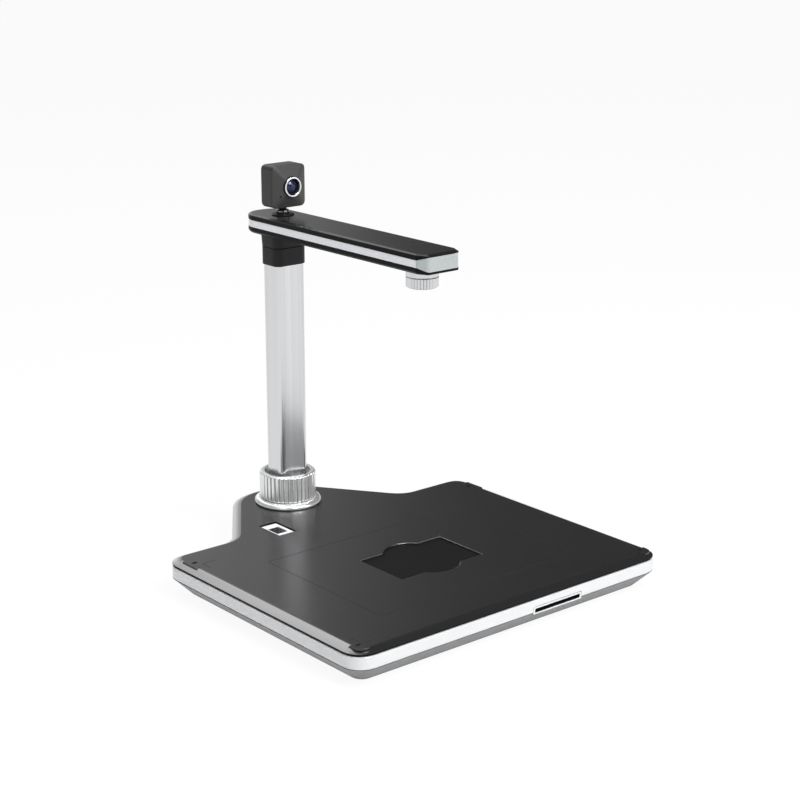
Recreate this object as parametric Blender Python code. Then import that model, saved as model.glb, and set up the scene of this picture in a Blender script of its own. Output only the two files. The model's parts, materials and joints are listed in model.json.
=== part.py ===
"""Overhead document scanner: base with card recess, clamped column, swivelling camera arm, second camera.

Metres, +Z up, front towards -Y. The origin is the middle of the overall box, on the floor.
"""

import math

import bmesh
import bpy
from mathutils import Matrix

for old_object in list(bpy.data.objects):
    bpy.data.objects.remove(old_object, do_unlink=True)

# Clearances
FIT = 0.0003
SWIVEL_GAP = 0.0004

# Outline of the panel's top edge: a rounded rectangle with a tapering neck behind it
PANEL_LENGTH = 0.3134
PANEL_DEPTH = 0.2425
PANEL_CORNER_R = 0.0094
NECK_ROOT_WIDTH = 0.1830
NECK_END_WIDTH = 0.0520
NECK_LENGTH = 0.0922
NECK_ROOT_R = 0.0260
NECK_END_R = 0.0400

# Section of the base, from the floor up
FOOT_HEIGHT = 0.0020
SKIRT_HEIGHT = 0.0139
SKIRT_INSET = 0.0135
SKIRT_WALL = 0.0036
SKIRT_CORNER_R = 0.0090
BAND_HEIGHT = 0.0108
BAND_WALL = 0.0025
BAND_CHAMFER = 0.0004
SEAM_HEIGHT = 0.0016
SEAM_DEPTH = 0.0010
SHELL_EDGE = 0.0006
BEVEL_DROP = 0.0031
BEVEL_WIDTH = 0.0076
SHELL_THICKNESS = 0.0026
FLOOR_THICKNESS = 0.0025
LIP_WALL = 0.0020
LIP_HEIGHT = 0.0050

# Scanning area: the sheet is A4, and the card recess takes an ID-1 card with room round it
SCAN_CENTRE_IN = 0.1117
SHEET_WIDTH = 0.2100
CARD_LENGTH = 0.0876
CARD_WIDTH = 0.0547
CARD_DEPTH = 0.0014
SCALLOP_R = 0.0237
SCALLOP_REACH = 0.0095

# Paper stops
STOP_SINK = 0.0014
STOP_PROUD = 0.0003
STOP_OVERHANG = 0.0023
STOP_ARM = 0.0040
STOP_NOTCH_LENGTH = 0.0040
STOP_NOTCH_WIDTH = 0.0020
STOP_NOTCH_GAP = 0.0006
REAR_STOP_MARGIN = 0.0140
REAR_STOP_ALONG = 0.0205
REAR_STOP_ACROSS = 0.0090
REAR_STOP_FOOT = 0.0072
FRONT_STOP_MARGIN = 0.0100
FRONT_STOP_ALONG = 0.0118
FRONT_STOP_ACROSS = 0.0105
FRONT_STOP_FOOT = 0.0078
FRONT_STOP_R = 0.0080
REAR_STOP_R = 0.0010

# Fingerprint reader
FINGER_LEFT = 0.0511
FINGER_BACK = 0.1328
FINGER_WIDTH = 0.0183
FINGER_LENGTH = 0.0304
FINGER_SINK = 0.0015
FINGER_RIM = 0.0020
FINGER_RIM_HEIGHT = 0.0012
FINGER_R = 0.0006
FINGER_SENSOR_HEIGHT = 0.0060
WINDOW_WIDTH = 0.0108
WINDOW_LENGTH = 0.0152
WINDOW_SINK = 0.0006

# Card slot in the front
SLOT_RIGHT = 0.0422
SLOT_WIDTH = 0.0500
SLOT_HEIGHT = 0.0027
SLOT_UP = 0.00165
PAD_WIDTH = 0.0540
PAD_BELOW = 0.0012
PAD_ABOVE = 0.0048
PAD_R = 0.0010
READER_WIDTH = 0.0560
READER_DEPTH = 0.0480
READER_CARD_DEPTH = 0.0300
READER_BELOW = 0.0026
READER_ABOVE = 0.0040

# Inside the base
BALLAST_LENGTH = 0.2000
BALLAST_DEPTH = 0.1080
BALLAST_HEIGHT = 0.0030
BALLAST_BACK = 0.0120
ANTENNA_LENGTH = 0.0900
ANTENNA_WIDTH = 0.0740
BOARD_THICKNESS = 0.0016
BOARD_LEFT_EDGE = 0.0620
BOARD_WIDTH = 0.0680
BOARD_DEPTH = 0.0600
BOARD_Z = 0.0184
POST_R = 0.0030
POST_IN = 0.0060
BOARD_REAR_GAP = 0.0020
USB_RIGHT = 0.0960
USB_WIDTH = 0.0089
USB_HEIGHT = 0.0033
USB_DEPTH = 0.0090
USB_R = 0.0016
USB_WALL = 0.0004

# Feet and cover screws
FOOT_R = 0.0070
FOOT_RECESS = 0.0008
FOOT_IN_X = 0.0230
FOOT_IN_Y = 0.0230
SCREW_IN_X = 0.0150
SCREW_IN_Y = 0.0400
SCREW_R = 0.0014
SCREW_HEAD_R = 0.0029
SCREW_HEAD_HEIGHT = 0.0011
SCREW_LENGTH = 0.0090
BOSS_R = 0.0040

# Column and its clamp
LENS_REACH = 0.1863
COLUMN_WIDTH = 0.0310
COLUMN_DEPTH = 0.0240
COLUMN_R = 0.0060
COLUMN_WALL = 0.0020
COLUMN_HEIGHT = 0.2200
COLUMN_SINK = 0.0200
PLUG_HEIGHT = 0.0120
FLANGE_R = 0.0301
FLANGE_HEIGHT = 0.0050
FLANGE_EDGE = 0.0016
HUB_R = 0.0201
HUB_HEIGHT = 0.0180
SPIGOT_R = 0.0217
SOCKET_R = 0.0260
RING_R = 0.0253
RING_BORE_R = 0.0206
RING_HEIGHT = 0.0243
RING_RIBS = 38
RING_RIB_DEPTH = 0.0009
CABLE_R = 0.0020

# Swivel between column and arm
COLLAR_MARGIN = 0.0013
COLLAR_FLARE = 0.0008
COLLAR_HEIGHT = 0.0154
COLLAR_SPIGOT = 0.0100
ARM_COLLAR_HEIGHT = 0.0101
SHAFT_R = 0.0060
SHAFT_BORE_R = 0.0040
SHAFT_FLANGE_R = 0.0110
SHAFT_FLANGE_HEIGHT = 0.0020
NUT_R = 0.0088
NUT_HEIGHT = 0.0050
WASHER_R = 0.0105
WASHER_SEAT = 0.0008

# Arm
ARM_WIDTH = 0.0414
ARM_FRONT = 0.0261
ARM_BACK = 0.0350
ARM_REAR_R = 0.0180
ARM_CORNER_R = 0.0035
ARM_CUT_LENGTH = 0.0099
ARM_CUT_WIDTH = 0.0047
ARM_HEIGHT = 0.0165
ARM_WALL = 0.0018
ARM_BAND_LOW = 0.0053
ARM_BAND_HIGH = 0.0113
ARM_BAND_FLARE = 0.0030
ARM_BAND_SINK = 0.0003
ARM_TOP_EDGE = 0.0011
ARM_TOP_CROWN = 0.0032
ARM_LOW_EDGE = 0.0019
ARM_LOW_EDGE_FRONT = 0.0005
ARM_SCREW_IN = 0.0082
ARM_SCREW_NEAR = 0.0450
ARM_SCREW_FAR = 0.1380
LAMP_WIDTH = 0.0240
LAMP_LENGTH = 0.0100
LAMP_BACK = 0.0340

# Main lens
LENS_BOSS_R = 0.0150
LENS_BOSS_HEIGHT = 0.0012
LENS_COLLAR_HEIGHT = 0.0046
FOCUS_R = 0.0134
FOCUS_HEIGHT = 0.0090
FOCUS_RIBS = 32
FOCUS_RIB_DEPTH = 0.0006
BARREL_R = 0.0110
BARREL_BORE_R = 0.0080
BARREL_FLANGE_R = 0.0140
BARREL_FLANGE_HEIGHT = 0.0015
BARREL_NECK_R = 0.0095
BARREL_NECK_HEIGHT = 0.0045
BARREL_SINK = 0.0006
GLASS_HEIGHT = 0.0025
GLASS_SINK = 0.0020
CAMERA_BOARD_GAP = 0.0016
CAMERA_BOARD_LENGTH = 0.0340

# Second camera
CAM_FOOT_R = 0.0100
CAM_FOOT_TOP_R = 0.0088
CAM_FOOT_BORE_R = 0.0046
CAM_FOOT_HEIGHT = 0.0010
CAM_BALL_UP = 0.0043
CAM_BALL_R = 0.0036
CAM_NECK_R = 0.0030
CAM_NECK_FLARE_R = 0.0065
CAM_SOCKET_R = 0.0058
CAM_SOCKET_ABOVE = 0.0006
CAM_BOTTOM_UP = 0.0034
CAM_FORWARD = 0.0006
CAM_WIDTH = 0.0342
CAM_HEIGHT = 0.0369
CAM_DEPTH = 0.0186
CAM_EDGE_R = 0.0042
CAM_WALL = 0.0020
CAM_RIM = 0.0025
CAM_NOSE = 0.0047
CAM_NOSE_FLAT = 0.0120
CAM_LENS_RING_R = 0.0086
CAM_LENS_RING_BORE_R = 0.0064
CAM_LENS_PROUD = 0.0015
CAM_LENS_RING_DEPTH = 0.0050
CAM_LENS_LENGTH = 0.0110
CAM_BOARD = 0.0240
MIC_R = 0.0008
MIC_LEFT = 0.0109
MIC_DOWN = 0.0080

# Facets
CORNER_STEPS = 5
SHORT_STEPS = 3
ROUND_STEPS = 38
SMALL_STEPS = 20
HOLE_STEPS = 8
FOOT_STEPS = 16
COLUMN_STEPS = 4

# Heights
Z_UNDER = FOOT_HEIGHT
Z_FLOOR = Z_UNDER + FLOOR_THICKNESS
Z_BAND_LOW = Z_UNDER + SKIRT_HEIGHT
Z_BAND_HIGH = Z_BAND_LOW + BAND_HEIGHT
Z_EDGE = Z_BAND_HIGH + SEAM_HEIGHT
Z_BEVEL = Z_EDGE + SHELL_EDGE
Z_PANEL = Z_BEVEL + BEVEL_DROP
Z_CEILING = Z_PANEL - SHELL_THICKNESS
Z_FLANGE = Z_PANEL + FLANGE_HEIGHT
Z_RING_TOP = Z_FLANGE + FIT + RING_HEIGHT
Z_COLUMN_LOW = Z_PANEL - COLUMN_SINK
Z_COLUMN_TOP = Z_PANEL + COLUMN_HEIGHT
Z_COLLAR = Z_COLUMN_TOP + FIT
Z_SWIVEL = Z_COLLAR + COLLAR_HEIGHT
Z_ARM_COLLAR = Z_SWIVEL + SWIVEL_GAP
Z_ARM = Z_ARM_COLLAR + ARM_COLLAR_HEIGHT + FIT
Z_ARM_FLOOR = Z_ARM + ARM_WALL
Z_ARM_TOP = Z_ARM + ARM_HEIGHT
Z_ARM_CEILING = Z_ARM_TOP - ARM_WALL
Z_LENS_COLLAR = Z_ARM - LENS_BOSS_HEIGHT - FIT
Z_FOCUS_TOP = Z_LENS_COLLAR - LENS_COLLAR_HEIGHT - FIT
Z_FOCUS_LOW = Z_FOCUS_TOP - FOCUS_HEIGHT
Z_BALL = Z_ARM_TOP + CAM_BALL_UP
Z_CAM_LOW = Z_BALL + CAM_BOTTOM_UP
Z_CAM = Z_CAM_LOW + CAM_HEIGHT / 2

# Places along Y
OVERALL_DEPTH = PANEL_DEPTH + NECK_LENGTH + 2 * BEVEL_WIDTH
Y_FRONT = BEVEL_WIDTH - OVERALL_DEPTH / 2
Y_REAR = Y_FRONT + PANEL_DEPTH
Y_NECK = Y_REAR + NECK_LENGTH
Y_SCAN = Y_FRONT + SCAN_CENTRE_IN
Y_COLUMN = Y_SCAN + LENS_REACH
Y_ARM_FRONT = Y_SCAN - ARM_FRONT
Y_CAM = Y_COLUMN - CAM_FORWARD
Y_CAM_FRONT = Y_CAM - CAM_DEPTH / 2
Y_CAM_REAR = Y_CAM + CAM_DEPTH / 2

# Offsets from the panel's edge: the tongue that locates the band between shell and tray
TONGUE_OUT = BEVEL_WIDTH - BAND_WALL - FIT
TONGUE_IN = TONGUE_OUT - LIP_WALL

# Finishes: colour, roughness, metallic
GLOSS_BLACK = ((0.018, 0.018, 0.020), 0.25, 0.0)
MATT_BLACK = ((0.022, 0.022, 0.023), 0.55, 0.0)
SOFT_GREY = ((0.060, 0.060, 0.062), 0.50, 0.0)
SILVER = ((0.780, 0.785, 0.800), 0.30, 0.9)
SKIRT_GREY = ((0.330, 0.335, 0.340), 0.45, 0.3)
POLISHED = ((0.820, 0.825, 0.830), 0.12, 1.0)
ALUMINIUM = ((0.720, 0.725, 0.735), 0.28, 1.0)
WHITE = ((0.850, 0.850, 0.845), 0.40, 0.0)
GLASS_DARK = ((0.010, 0.012, 0.030), 0.05, 0.0)
LAMP_WHITE = ((0.800, 0.800, 0.780), 0.35, 0.0)
STEEL = ((0.450, 0.450, 0.460), 0.40, 1.0)
BOARD_GREEN = ((0.020, 0.110, 0.050), 0.50, 0.0)
RUBBER = ((0.012, 0.012, 0.012), 0.80, 0.0)


def add_material(obj, finish):
    """One Principled material for this piece."""
    colour, roughness, metallic = finish
    material = bpy.data.materials.new(obj.name)
    material.use_nodes = True
    shader = material.node_tree.nodes["Principled BSDF"]
    shader.inputs["Base Color"].default_value = (*colour, 1.0)
    shader.inputs["Roughness"].default_value = roughness
    shader.inputs["Metallic"].default_value = metallic
    obj.data.materials.append(material)


def add_object(name, bm, finish=None):
    """An object from a finished bmesh. With no finish it is a cutter, which isn't a piece."""
    bmesh.ops.recalc_face_normals(bm, faces=bm.faces)
    mesh = bpy.data.meshes.new(name)
    bm.to_mesh(mesh)
    bm.free()
    mesh.shade_smooth()
    mesh.set_sharp_from_angle(angle=math.radians(30))
    obj = bpy.data.objects.new(name, mesh)
    bpy.context.scene.collection.objects.link(obj)
    if finish is None:
        obj.hide_render = True
        obj.display_type = "WIRE"
    else:
        add_material(obj, finish)
    return obj


def outline(corners, offset=0.0, steps=CORNER_STEPS):
    """Closed outline through (x, y, radius) corners, anticlockwise, moved outwards by offset.

    Fillets keep their centres as the outline moves, so two offsets of it match point for point.
    A corner of radius 0 stays sharp.
    """
    points = []
    count = len(corners)
    for index, (x, y, radius) in enumerate(corners):
        before = corners[index - 1]
        after = corners[(index + 1) % count]
        angle_in = math.atan2(y - before[1], x - before[0])
        angle_out = math.atan2(after[1] - y, after[0] - x)
        turn = (angle_out - angle_in + math.pi) % (2 * math.pi) - math.pi
        side = math.copysign(1.0, turn)
        middle = angle_in + turn / 2 - math.pi / 2
        reach = offset / math.cos(turn / 2)
        corner_x = x + reach * math.cos(middle)
        corner_y = y + reach * math.sin(middle)
        if radius == 0.0:
            points.append((corner_x, corner_y))
            continue
        radius = max(radius + side * offset, FIT)
        to_centre = side * radius / math.cos(turn / 2)
        centre_x = corner_x - to_centre * math.cos(middle)
        centre_y = corner_y - to_centre * math.sin(middle)
        for step in range(steps + 1):
            heading = angle_in + turn * step / steps - side * math.pi / 2
            points.append((centre_x + radius * math.cos(heading), centre_y + radius * math.sin(heading)))
    return points


def rectangle(x, y, width, depth, radius):
    """Corners of a rounded rectangle about (x, y), anticlockwise."""
    half_width = width / 2
    half_depth = depth / 2
    signs = ((-1, -1), (1, -1), (1, 1), (-1, 1))
    return [(x + sx * half_width, y + sy * half_depth, radius) for sx, sy in signs]


def circle(x, y, radius, steps=SMALL_STEPS):
    """Points of a circle, anticlockwise."""
    angles = [2 * math.pi * step / steps for step in range(steps)]
    return [(x + radius * math.cos(angle), y + radius * math.sin(angle)) for angle in angles]


def level(points, z):
    """A ring of points at one height."""
    return [(x, y, z) for x, y in points]


def upright(points, y):
    """A ring of (x, z) points standing in the plane of one y."""
    return [(x, y, z) for x, z in points]


def loft(name, rings, finish=None, closed=False):
    """Solid skinned over rings of equal point count, capped at both ends or closed on itself."""
    bm = bmesh.new()
    loops = [[bm.verts.new(point) for point in ring] for ring in rings]
    pairs = list(zip(loops, loops[1:]))
    if closed:
        pairs.append((loops[-1], loops[0]))
    else:
        bm.faces.new(loops[0])
        bm.faces.new(loops[-1])
    count = len(loops[0])
    for lower, upper in pairs:
        for index in range(count):
            after = (index + 1) % count
            bm.faces.new((lower[index], lower[after], upper[after], upper[index]))
    return add_object(name, bm, finish)


def prism(name, points, z_low, z_high, finish=None):
    """An outline extruded straight up."""
    return loft(name, [level(points, z_low), level(points, z_high)], finish)


def box(name, low, high, finish=None):
    """A block between two opposite corners."""
    points = [(low[0], low[1]), (high[0], low[1]), (high[0], high[1]), (low[0], high[1])]
    return prism(name, points, low[2], high[2], finish)


def lathe(name, profile, centre, finish=None, closed=True, forward=False, steps=SMALL_STEPS):
    """A (radius, height) profile turned about a vertical axis, or about -Y when forward is set."""
    bm = bmesh.new()
    verts = [bm.verts.new((radius, 0.0, height)) for radius, height in profile]
    edges = [bm.edges.new(pair) for pair in zip(verts, verts[1:])]
    if closed:
        edges.append(bm.edges.new((verts[-1], verts[0])))
    bmesh.ops.spin(bm, geom=verts + edges, cent=(0, 0, 0), axis=(0, 0, 1), angle=2 * math.pi, steps=steps)
    bmesh.ops.remove_doubles(bm, verts=bm.verts, dist=1e-6)
    if forward:
        bmesh.ops.rotate(bm, verts=bm.verts, cent=(0, 0, 0), matrix=Matrix.Rotation(math.pi / 2, 3, "X"))
    bmesh.ops.translate(bm, verts=bm.verts, vec=centre)
    return add_object(name, bm, finish)


def cylinder(name, x, y, radius, z_low, z_high, finish=None, steps=SMALL_STEPS):
    """A plain round bar, mostly a cutter."""
    return prism(name, circle(x, y, radius, steps), z_low, z_high, finish)


def bore(name, x, y, radius, z_low, z_high):
    """A small round cutter or boss."""
    return cylinder(name, x, y, radius, z_low, z_high, steps=HOLE_STEPS)


def ribbed(radius, depth, ribs, z, centre):
    """A ring with straight ribs: broad lands and V grooves. A depth of 0 gives a plain ring."""
    points = []
    for rib in range(ribs):
        for share, drop in ((0.0, 0.0), (0.60, 0.0), (0.80, depth)):
            angle = 2 * math.pi * (rib + share) / ribs
            reach = radius - drop
            points.append((centre[0] + reach * math.cos(angle), centre[1] + reach * math.sin(angle), z))
    return points


def change(target, tool, operation="DIFFERENCE"):
    """Cuts a tool out of a piece, joins it on, or keeps only what they share."""
    modifier = target.modifiers.new(tool.name, "BOOLEAN")
    modifier.operation = operation
    modifier.solver = "EXACT"
    modifier.object = tool


def ride(empty, *pieces):
    """Hangs pieces on the empty that stands on their joint's axis."""
    place = Matrix.Translation(empty.location)
    for piece in pieces:
        piece.parent = empty
        piece.matrix_parent_inverse = place.inverted()


def axis_empty(name, location):
    """An empty on a joint's axis."""
    empty = bpy.data.objects.new(name, None)
    empty.location = location
    bpy.context.scene.collection.objects.link(empty)
    return empty


# Base outline, shared by shell, band and tray
HALF_LENGTH = PANEL_LENGTH / 2


def base_ring(offset, z, corner_r=PANEL_CORNER_R):
    """The base outline at one offset and height; corner_r is the panel corners' own radius."""
    corners = (
        (-HALF_LENGTH, Y_FRONT, corner_r),
        (HALF_LENGTH, Y_FRONT, corner_r),
        (HALF_LENGTH, Y_REAR, corner_r),
        (NECK_ROOT_WIDTH / 2, Y_REAR, NECK_ROOT_R),
        (NECK_END_WIDTH / 2, Y_NECK, NECK_END_R),
        (-NECK_END_WIDTH / 2, Y_NECK, NECK_END_R),
        (-NECK_ROOT_WIDTH / 2, Y_REAR, NECK_ROOT_R),
        (-HALF_LENGTH, Y_REAR, corner_r),
    )
    return level(outline(corners, offset), z)


def skirt_ring(z, inwards=0.0):
    """The sloping skirt's outline at a height; its corners stay round down to the floor."""
    drop = (Z_BAND_LOW - z) / SKIRT_HEIGHT
    low_r = SKIRT_CORNER_R + SKIRT_INSET - BEVEL_WIDTH
    corner_r = PANEL_CORNER_R + (low_r - PANEL_CORNER_R) * drop
    return base_ring(BEVEL_WIDTH - SKIRT_INSET * drop - inwards, z, corner_r)


# Tray: floor, sloping skirt, and a lip that the band drops over
inner_slope_top = Z_BAND_LOW - (BEVEL_WIDTH - SKIRT_WALL - TONGUE_IN) * SKIRT_HEIGHT / SKIRT_INSET
bottom_cover = loft(
    "bottom_cover",
    [
        skirt_ring(Z_FLOOR, SKIRT_WALL),
        base_ring(TONGUE_IN, inner_slope_top),
        base_ring(TONGUE_IN, Z_BAND_LOW + LIP_HEIGHT),
        base_ring(TONGUE_OUT, Z_BAND_LOW + LIP_HEIGHT),
        base_ring(TONGUE_OUT, Z_BAND_LOW),
        base_ring(BEVEL_WIDTH, Z_BAND_LOW),
        skirt_ring(Z_UNDER),
    ],
    SKIRT_GREY,
)

# Band: an extruded strip bent round the base
side_band = loft(
    "side_band",
    [
        base_ring(BEVEL_WIDTH - BAND_CHAMFER, Z_BAND_LOW + FIT),
        base_ring(BEVEL_WIDTH, Z_BAND_LOW + FIT + BAND_CHAMFER),
        base_ring(BEVEL_WIDTH, Z_BAND_HIGH - BAND_CHAMFER),
        base_ring(BEVEL_WIDTH - BAND_CHAMFER, Z_BAND_HIGH),
        base_ring(BEVEL_WIDTH - BAND_WALL, Z_BAND_HIGH),
        base_ring(BEVEL_WIDTH - BAND_WALL, Z_BAND_LOW + FIT),
    ],
    SILVER,
    closed=True,
)

# Shell: flat panel, sloped edge, seam groove, and a tongue inside the band
top_shell = loft(
    "top_shell",
    [
        base_ring(TONGUE_IN, Z_CEILING),
        base_ring(TONGUE_IN, Z_BAND_LOW + LIP_HEIGHT + FIT),
        base_ring(TONGUE_OUT, Z_BAND_LOW + LIP_HEIGHT + FIT),
        base_ring(TONGUE_OUT, Z_BAND_HIGH + FIT),
        base_ring(BEVEL_WIDTH - SEAM_DEPTH, Z_BAND_HIGH + FIT),
        base_ring(BEVEL_WIDTH - SEAM_DEPTH, Z_EDGE),
        base_ring(BEVEL_WIDTH, Z_EDGE),
        base_ring(BEVEL_WIDTH, Z_BEVEL),
        base_ring(0.0, Z_PANEL),
    ],
    GLOSS_BLACK,
)


def card_outline():
    """The card recess: a rectangle with a round finger scallop on each long side."""
    half_length = CARD_LENGTH / 2
    half_width = CARD_WIDTH / 2
    centre = half_width + SCALLOP_REACH - SCALLOP_R
    start = math.asin((half_width - centre) / SCALLOP_R)
    sweep = math.pi - 2 * start
    steps = 2 * CORNER_STEPS
    points = []
    for side in (1, -1):
        points.append((side * half_length, Y_SCAN + side * half_width))
        for step in range(steps + 1):
            angle = start + sweep * step / steps
            x = SCALLOP_R * math.cos(angle)
            y = centre + SCALLOP_R * math.sin(angle)
            points.append((side * x, Y_SCAN + side * y))
        points.append((-side * half_length, Y_SCAN + side * half_width))
    return points


change(top_shell, prism("card_recess", card_outline(), Z_PANEL - CARD_DEPTH, Z_PANEL + FIT))

# Fingerprint reader: a frame held under the shell, a window in it, the sensor below
finger_x = -FINGER_LEFT
finger_y = Y_SCAN + FINGER_BACK
finger_corners = rectangle(finger_x, finger_y, FINGER_WIDTH, FINGER_LENGTH, FINGER_R)


def finger_ring(offset, z):
    """The reader's frame outline at one offset and height."""
    return level(outline(finger_corners, offset, SHORT_STEPS), z)


finger_hole = loft("finger_hole", [finger_ring(0.0, Z_CEILING - FIT), finger_ring(0.0, Z_PANEL + FIT)])
change(top_shell, finger_hole)
Z_FINGER_RIM = Z_CEILING - FIT - FINGER_RIM_HEIGHT
fingerprint_bezel = loft(
    "fingerprint_bezel",
    [
        finger_ring(FINGER_RIM, Z_FINGER_RIM),
        finger_ring(FINGER_RIM, Z_CEILING - FIT),
        finger_ring(-FIT, Z_CEILING - FIT),
        finger_ring(-FIT, Z_PANEL - FINGER_SINK),
    ],
    WHITE,
)
window_corners = rectangle(finger_x, finger_y, WINDOW_WIDTH, WINDOW_LENGTH, FINGER_R)
window_hole = prism("window_hole", outline(window_corners, FIT, SHORT_STEPS), Z_FINGER_RIM - FIT, Z_PANEL)
change(fingerprint_bezel, window_hole)
prism(
    "fingerprint_window",
    outline(window_corners, 0.0, SHORT_STEPS),
    Z_FINGER_RIM,
    Z_PANEL - FINGER_SINK - WINDOW_SINK,
    GLASS_DARK,
)
box(
    "fingerprint_sensor",
    (finger_x - FINGER_WIDTH / 2, finger_y - FINGER_LENGTH / 2, Z_FINGER_RIM - FIT - FINGER_SENSOR_HEIGHT),
    (finger_x + FINGER_WIDTH / 2, finger_y + FINGER_LENGTH / 2, Z_FINGER_RIM - FIT),
    BOARD_GREEN,
)

# Paper stops: L-shaped tabs that just overhang the panel's sides
stop_x = HALF_LENGTH + STOP_OVERHANG


def add_stop(name, side, end):
    """One L-shaped stop; side is -1 left or 1 right, end is -1 front or 1 rear."""
    if end > 0:
        margin, along, across, foot, radius = (
            REAR_STOP_MARGIN, REAR_STOP_ALONG, REAR_STOP_ACROSS, REAR_STOP_FOOT, REAR_STOP_R)
    else:
        margin, along, across, foot, radius = (
            FRONT_STOP_MARGIN, FRONT_STOP_ALONG, FRONT_STOP_ACROSS, FRONT_STOP_FOOT, FRONT_STOP_R)
    outer_y = SHEET_WIDTH / 2 + margin
    corners = [
        (stop_x, outer_y, radius),
        (stop_x - across, outer_y, 0.0),
        (stop_x - across, outer_y - foot, 0.0),
        (stop_x - STOP_ARM, outer_y - foot, 0.0),
        (stop_x - STOP_ARM, outer_y - along, 0.0),
        (stop_x, outer_y - along, 0.0),
    ]
    if side * end < 0:
        corners.reverse()
    placed = [(side * x, Y_SCAN + end * y, r) for x, y, r in corners]
    z_low = Z_PANEL - STOP_SINK
    change(top_shell, prism(f"{name}_seat", outline(placed, FIT, SHORT_STEPS), z_low - FIT, Z_PANEL + FIT))
    notch_x = stop_x - STOP_ARM - STOP_NOTCH_GAP - STOP_NOTCH_LENGTH / 2
    notch_y = outer_y - foot - STOP_NOTCH_GAP - STOP_NOTCH_WIDTH / 2
    notch = rectangle(side * notch_x, Y_SCAN + end * notch_y, STOP_NOTCH_LENGTH, STOP_NOTCH_WIDTH, 0.0)
    change(top_shell, prism(f"{name}_notch", outline(notch), z_low, Z_PANEL + FIT))
    return prism(name, outline(placed, 0.0, SHORT_STEPS), z_low, Z_PANEL + STOP_PROUD, MATT_BLACK)


stop_places = ((-1, -1), (1, -1), (1, 1), (-1, 1))
for number, (side, end) in enumerate(stop_places, 1):
    add_stop(f"corner_stop_{number}", side, end)

# Card slot: a pad let into the band and the top of the skirt, with the reader behind it
y_band = Y_FRONT - BEVEL_WIDTH
y_tongue = Y_FRONT - TONGUE_IN
slot_z = Z_BAND_LOW + SLOT_UP
pad_z = Z_BAND_LOW + (PAD_ABOVE - PAD_BELOW) / 2
pad_corners = rectangle(SLOT_RIGHT, pad_z, PAD_WIDTH, PAD_ABOVE + PAD_BELOW, PAD_R)
slot_corners = rectangle(SLOT_RIGHT, slot_z, SLOT_WIDTH, SLOT_HEIGHT, 0.0)
pad_points = outline(pad_corners, 0.0, SHORT_STEPS)
pad_notch = loft(
    "pad_notch",
    [
        upright(outline(pad_corners, FIT, SHORT_STEPS), y_band - BEVEL_WIDTH),
        upright(outline(pad_corners, FIT, SHORT_STEPS), y_tongue + FIT),
    ],
)
change(bottom_cover, pad_notch)
change(side_band, pad_notch)
slot_bezel = loft(
    "slot_bezel",
    [upright(pad_points, y_band), upright(pad_points, y_tongue)],
    SILVER,
)
y_reader = y_tongue + 2 * FIT
slot_tool = loft(
    "slot_tool",
    [
        upright(outline(slot_corners), y_band - BEVEL_WIDTH),
        upright(outline(slot_corners), y_reader + READER_CARD_DEPTH),
    ],
)
change(slot_bezel, slot_tool)
card_reader = box(
    "card_reader",
    (SLOT_RIGHT - READER_WIDTH / 2, y_reader, slot_z - READER_BELOW),
    (SLOT_RIGHT + READER_WIDTH / 2, y_reader + READER_DEPTH, slot_z + READER_ABOVE),
    MATT_BLACK,
)
change(card_reader, slot_tool)


def add_post(name, x, y, z_top):
    """A round post moulded on the tray's floor."""
    change(bottom_cover, bore(name, x, y, POST_R, Z_FLOOR - FLOOR_THICKNESS / 2, z_top), "UNION")


for number, side in enumerate((-1, 1), 1):
    post_x = SLOT_RIGHT + side * (READER_WIDTH / 2 - POST_IN)
    add_post(f"reader_post_{number}", post_x, y_reader + READER_DEPTH - POST_IN, slot_z - READER_BELOW - FIT)

# Boards and ballast
ballast_y = Y_SCAN + BALLAST_BACK
box(
    "ballast_plate",
    (-BALLAST_LENGTH / 2, ballast_y - BALLAST_DEPTH / 2, Z_FLOOR + FIT),
    (BALLAST_LENGTH / 2, ballast_y + BALLAST_DEPTH / 2, Z_FLOOR + FIT + BALLAST_HEIGHT),
    STEEL,
)
box(
    "antenna_board",
    (-ANTENNA_LENGTH / 2, Y_SCAN - ANTENNA_WIDTH / 2, Z_CEILING - FIT - BOARD_THICKNESS),
    (ANTENNA_LENGTH / 2, Y_SCAN + ANTENNA_WIDTH / 2, Z_CEILING - FIT),
    BOARD_GREEN,
)
board_rear = Y_REAR + TONGUE_IN - BOARD_REAR_GAP
board_front = board_rear - BOARD_DEPTH
board_right_edge = BOARD_LEFT_EDGE + BOARD_WIDTH
box(
    "main_board",
    (BOARD_LEFT_EDGE, board_front, BOARD_Z),
    (board_right_edge, board_rear, BOARD_Z + BOARD_THICKNESS),
    BOARD_GREEN,
)
post_number = 0
for post_x in (BOARD_LEFT_EDGE + POST_IN, board_right_edge - POST_IN):
    for post_y in (board_front + POST_IN, board_rear - 2 * POST_IN):
        post_number += 1
        add_post(f"board_post_{post_number}", post_x, post_y, BOARD_Z - FIT)

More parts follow.
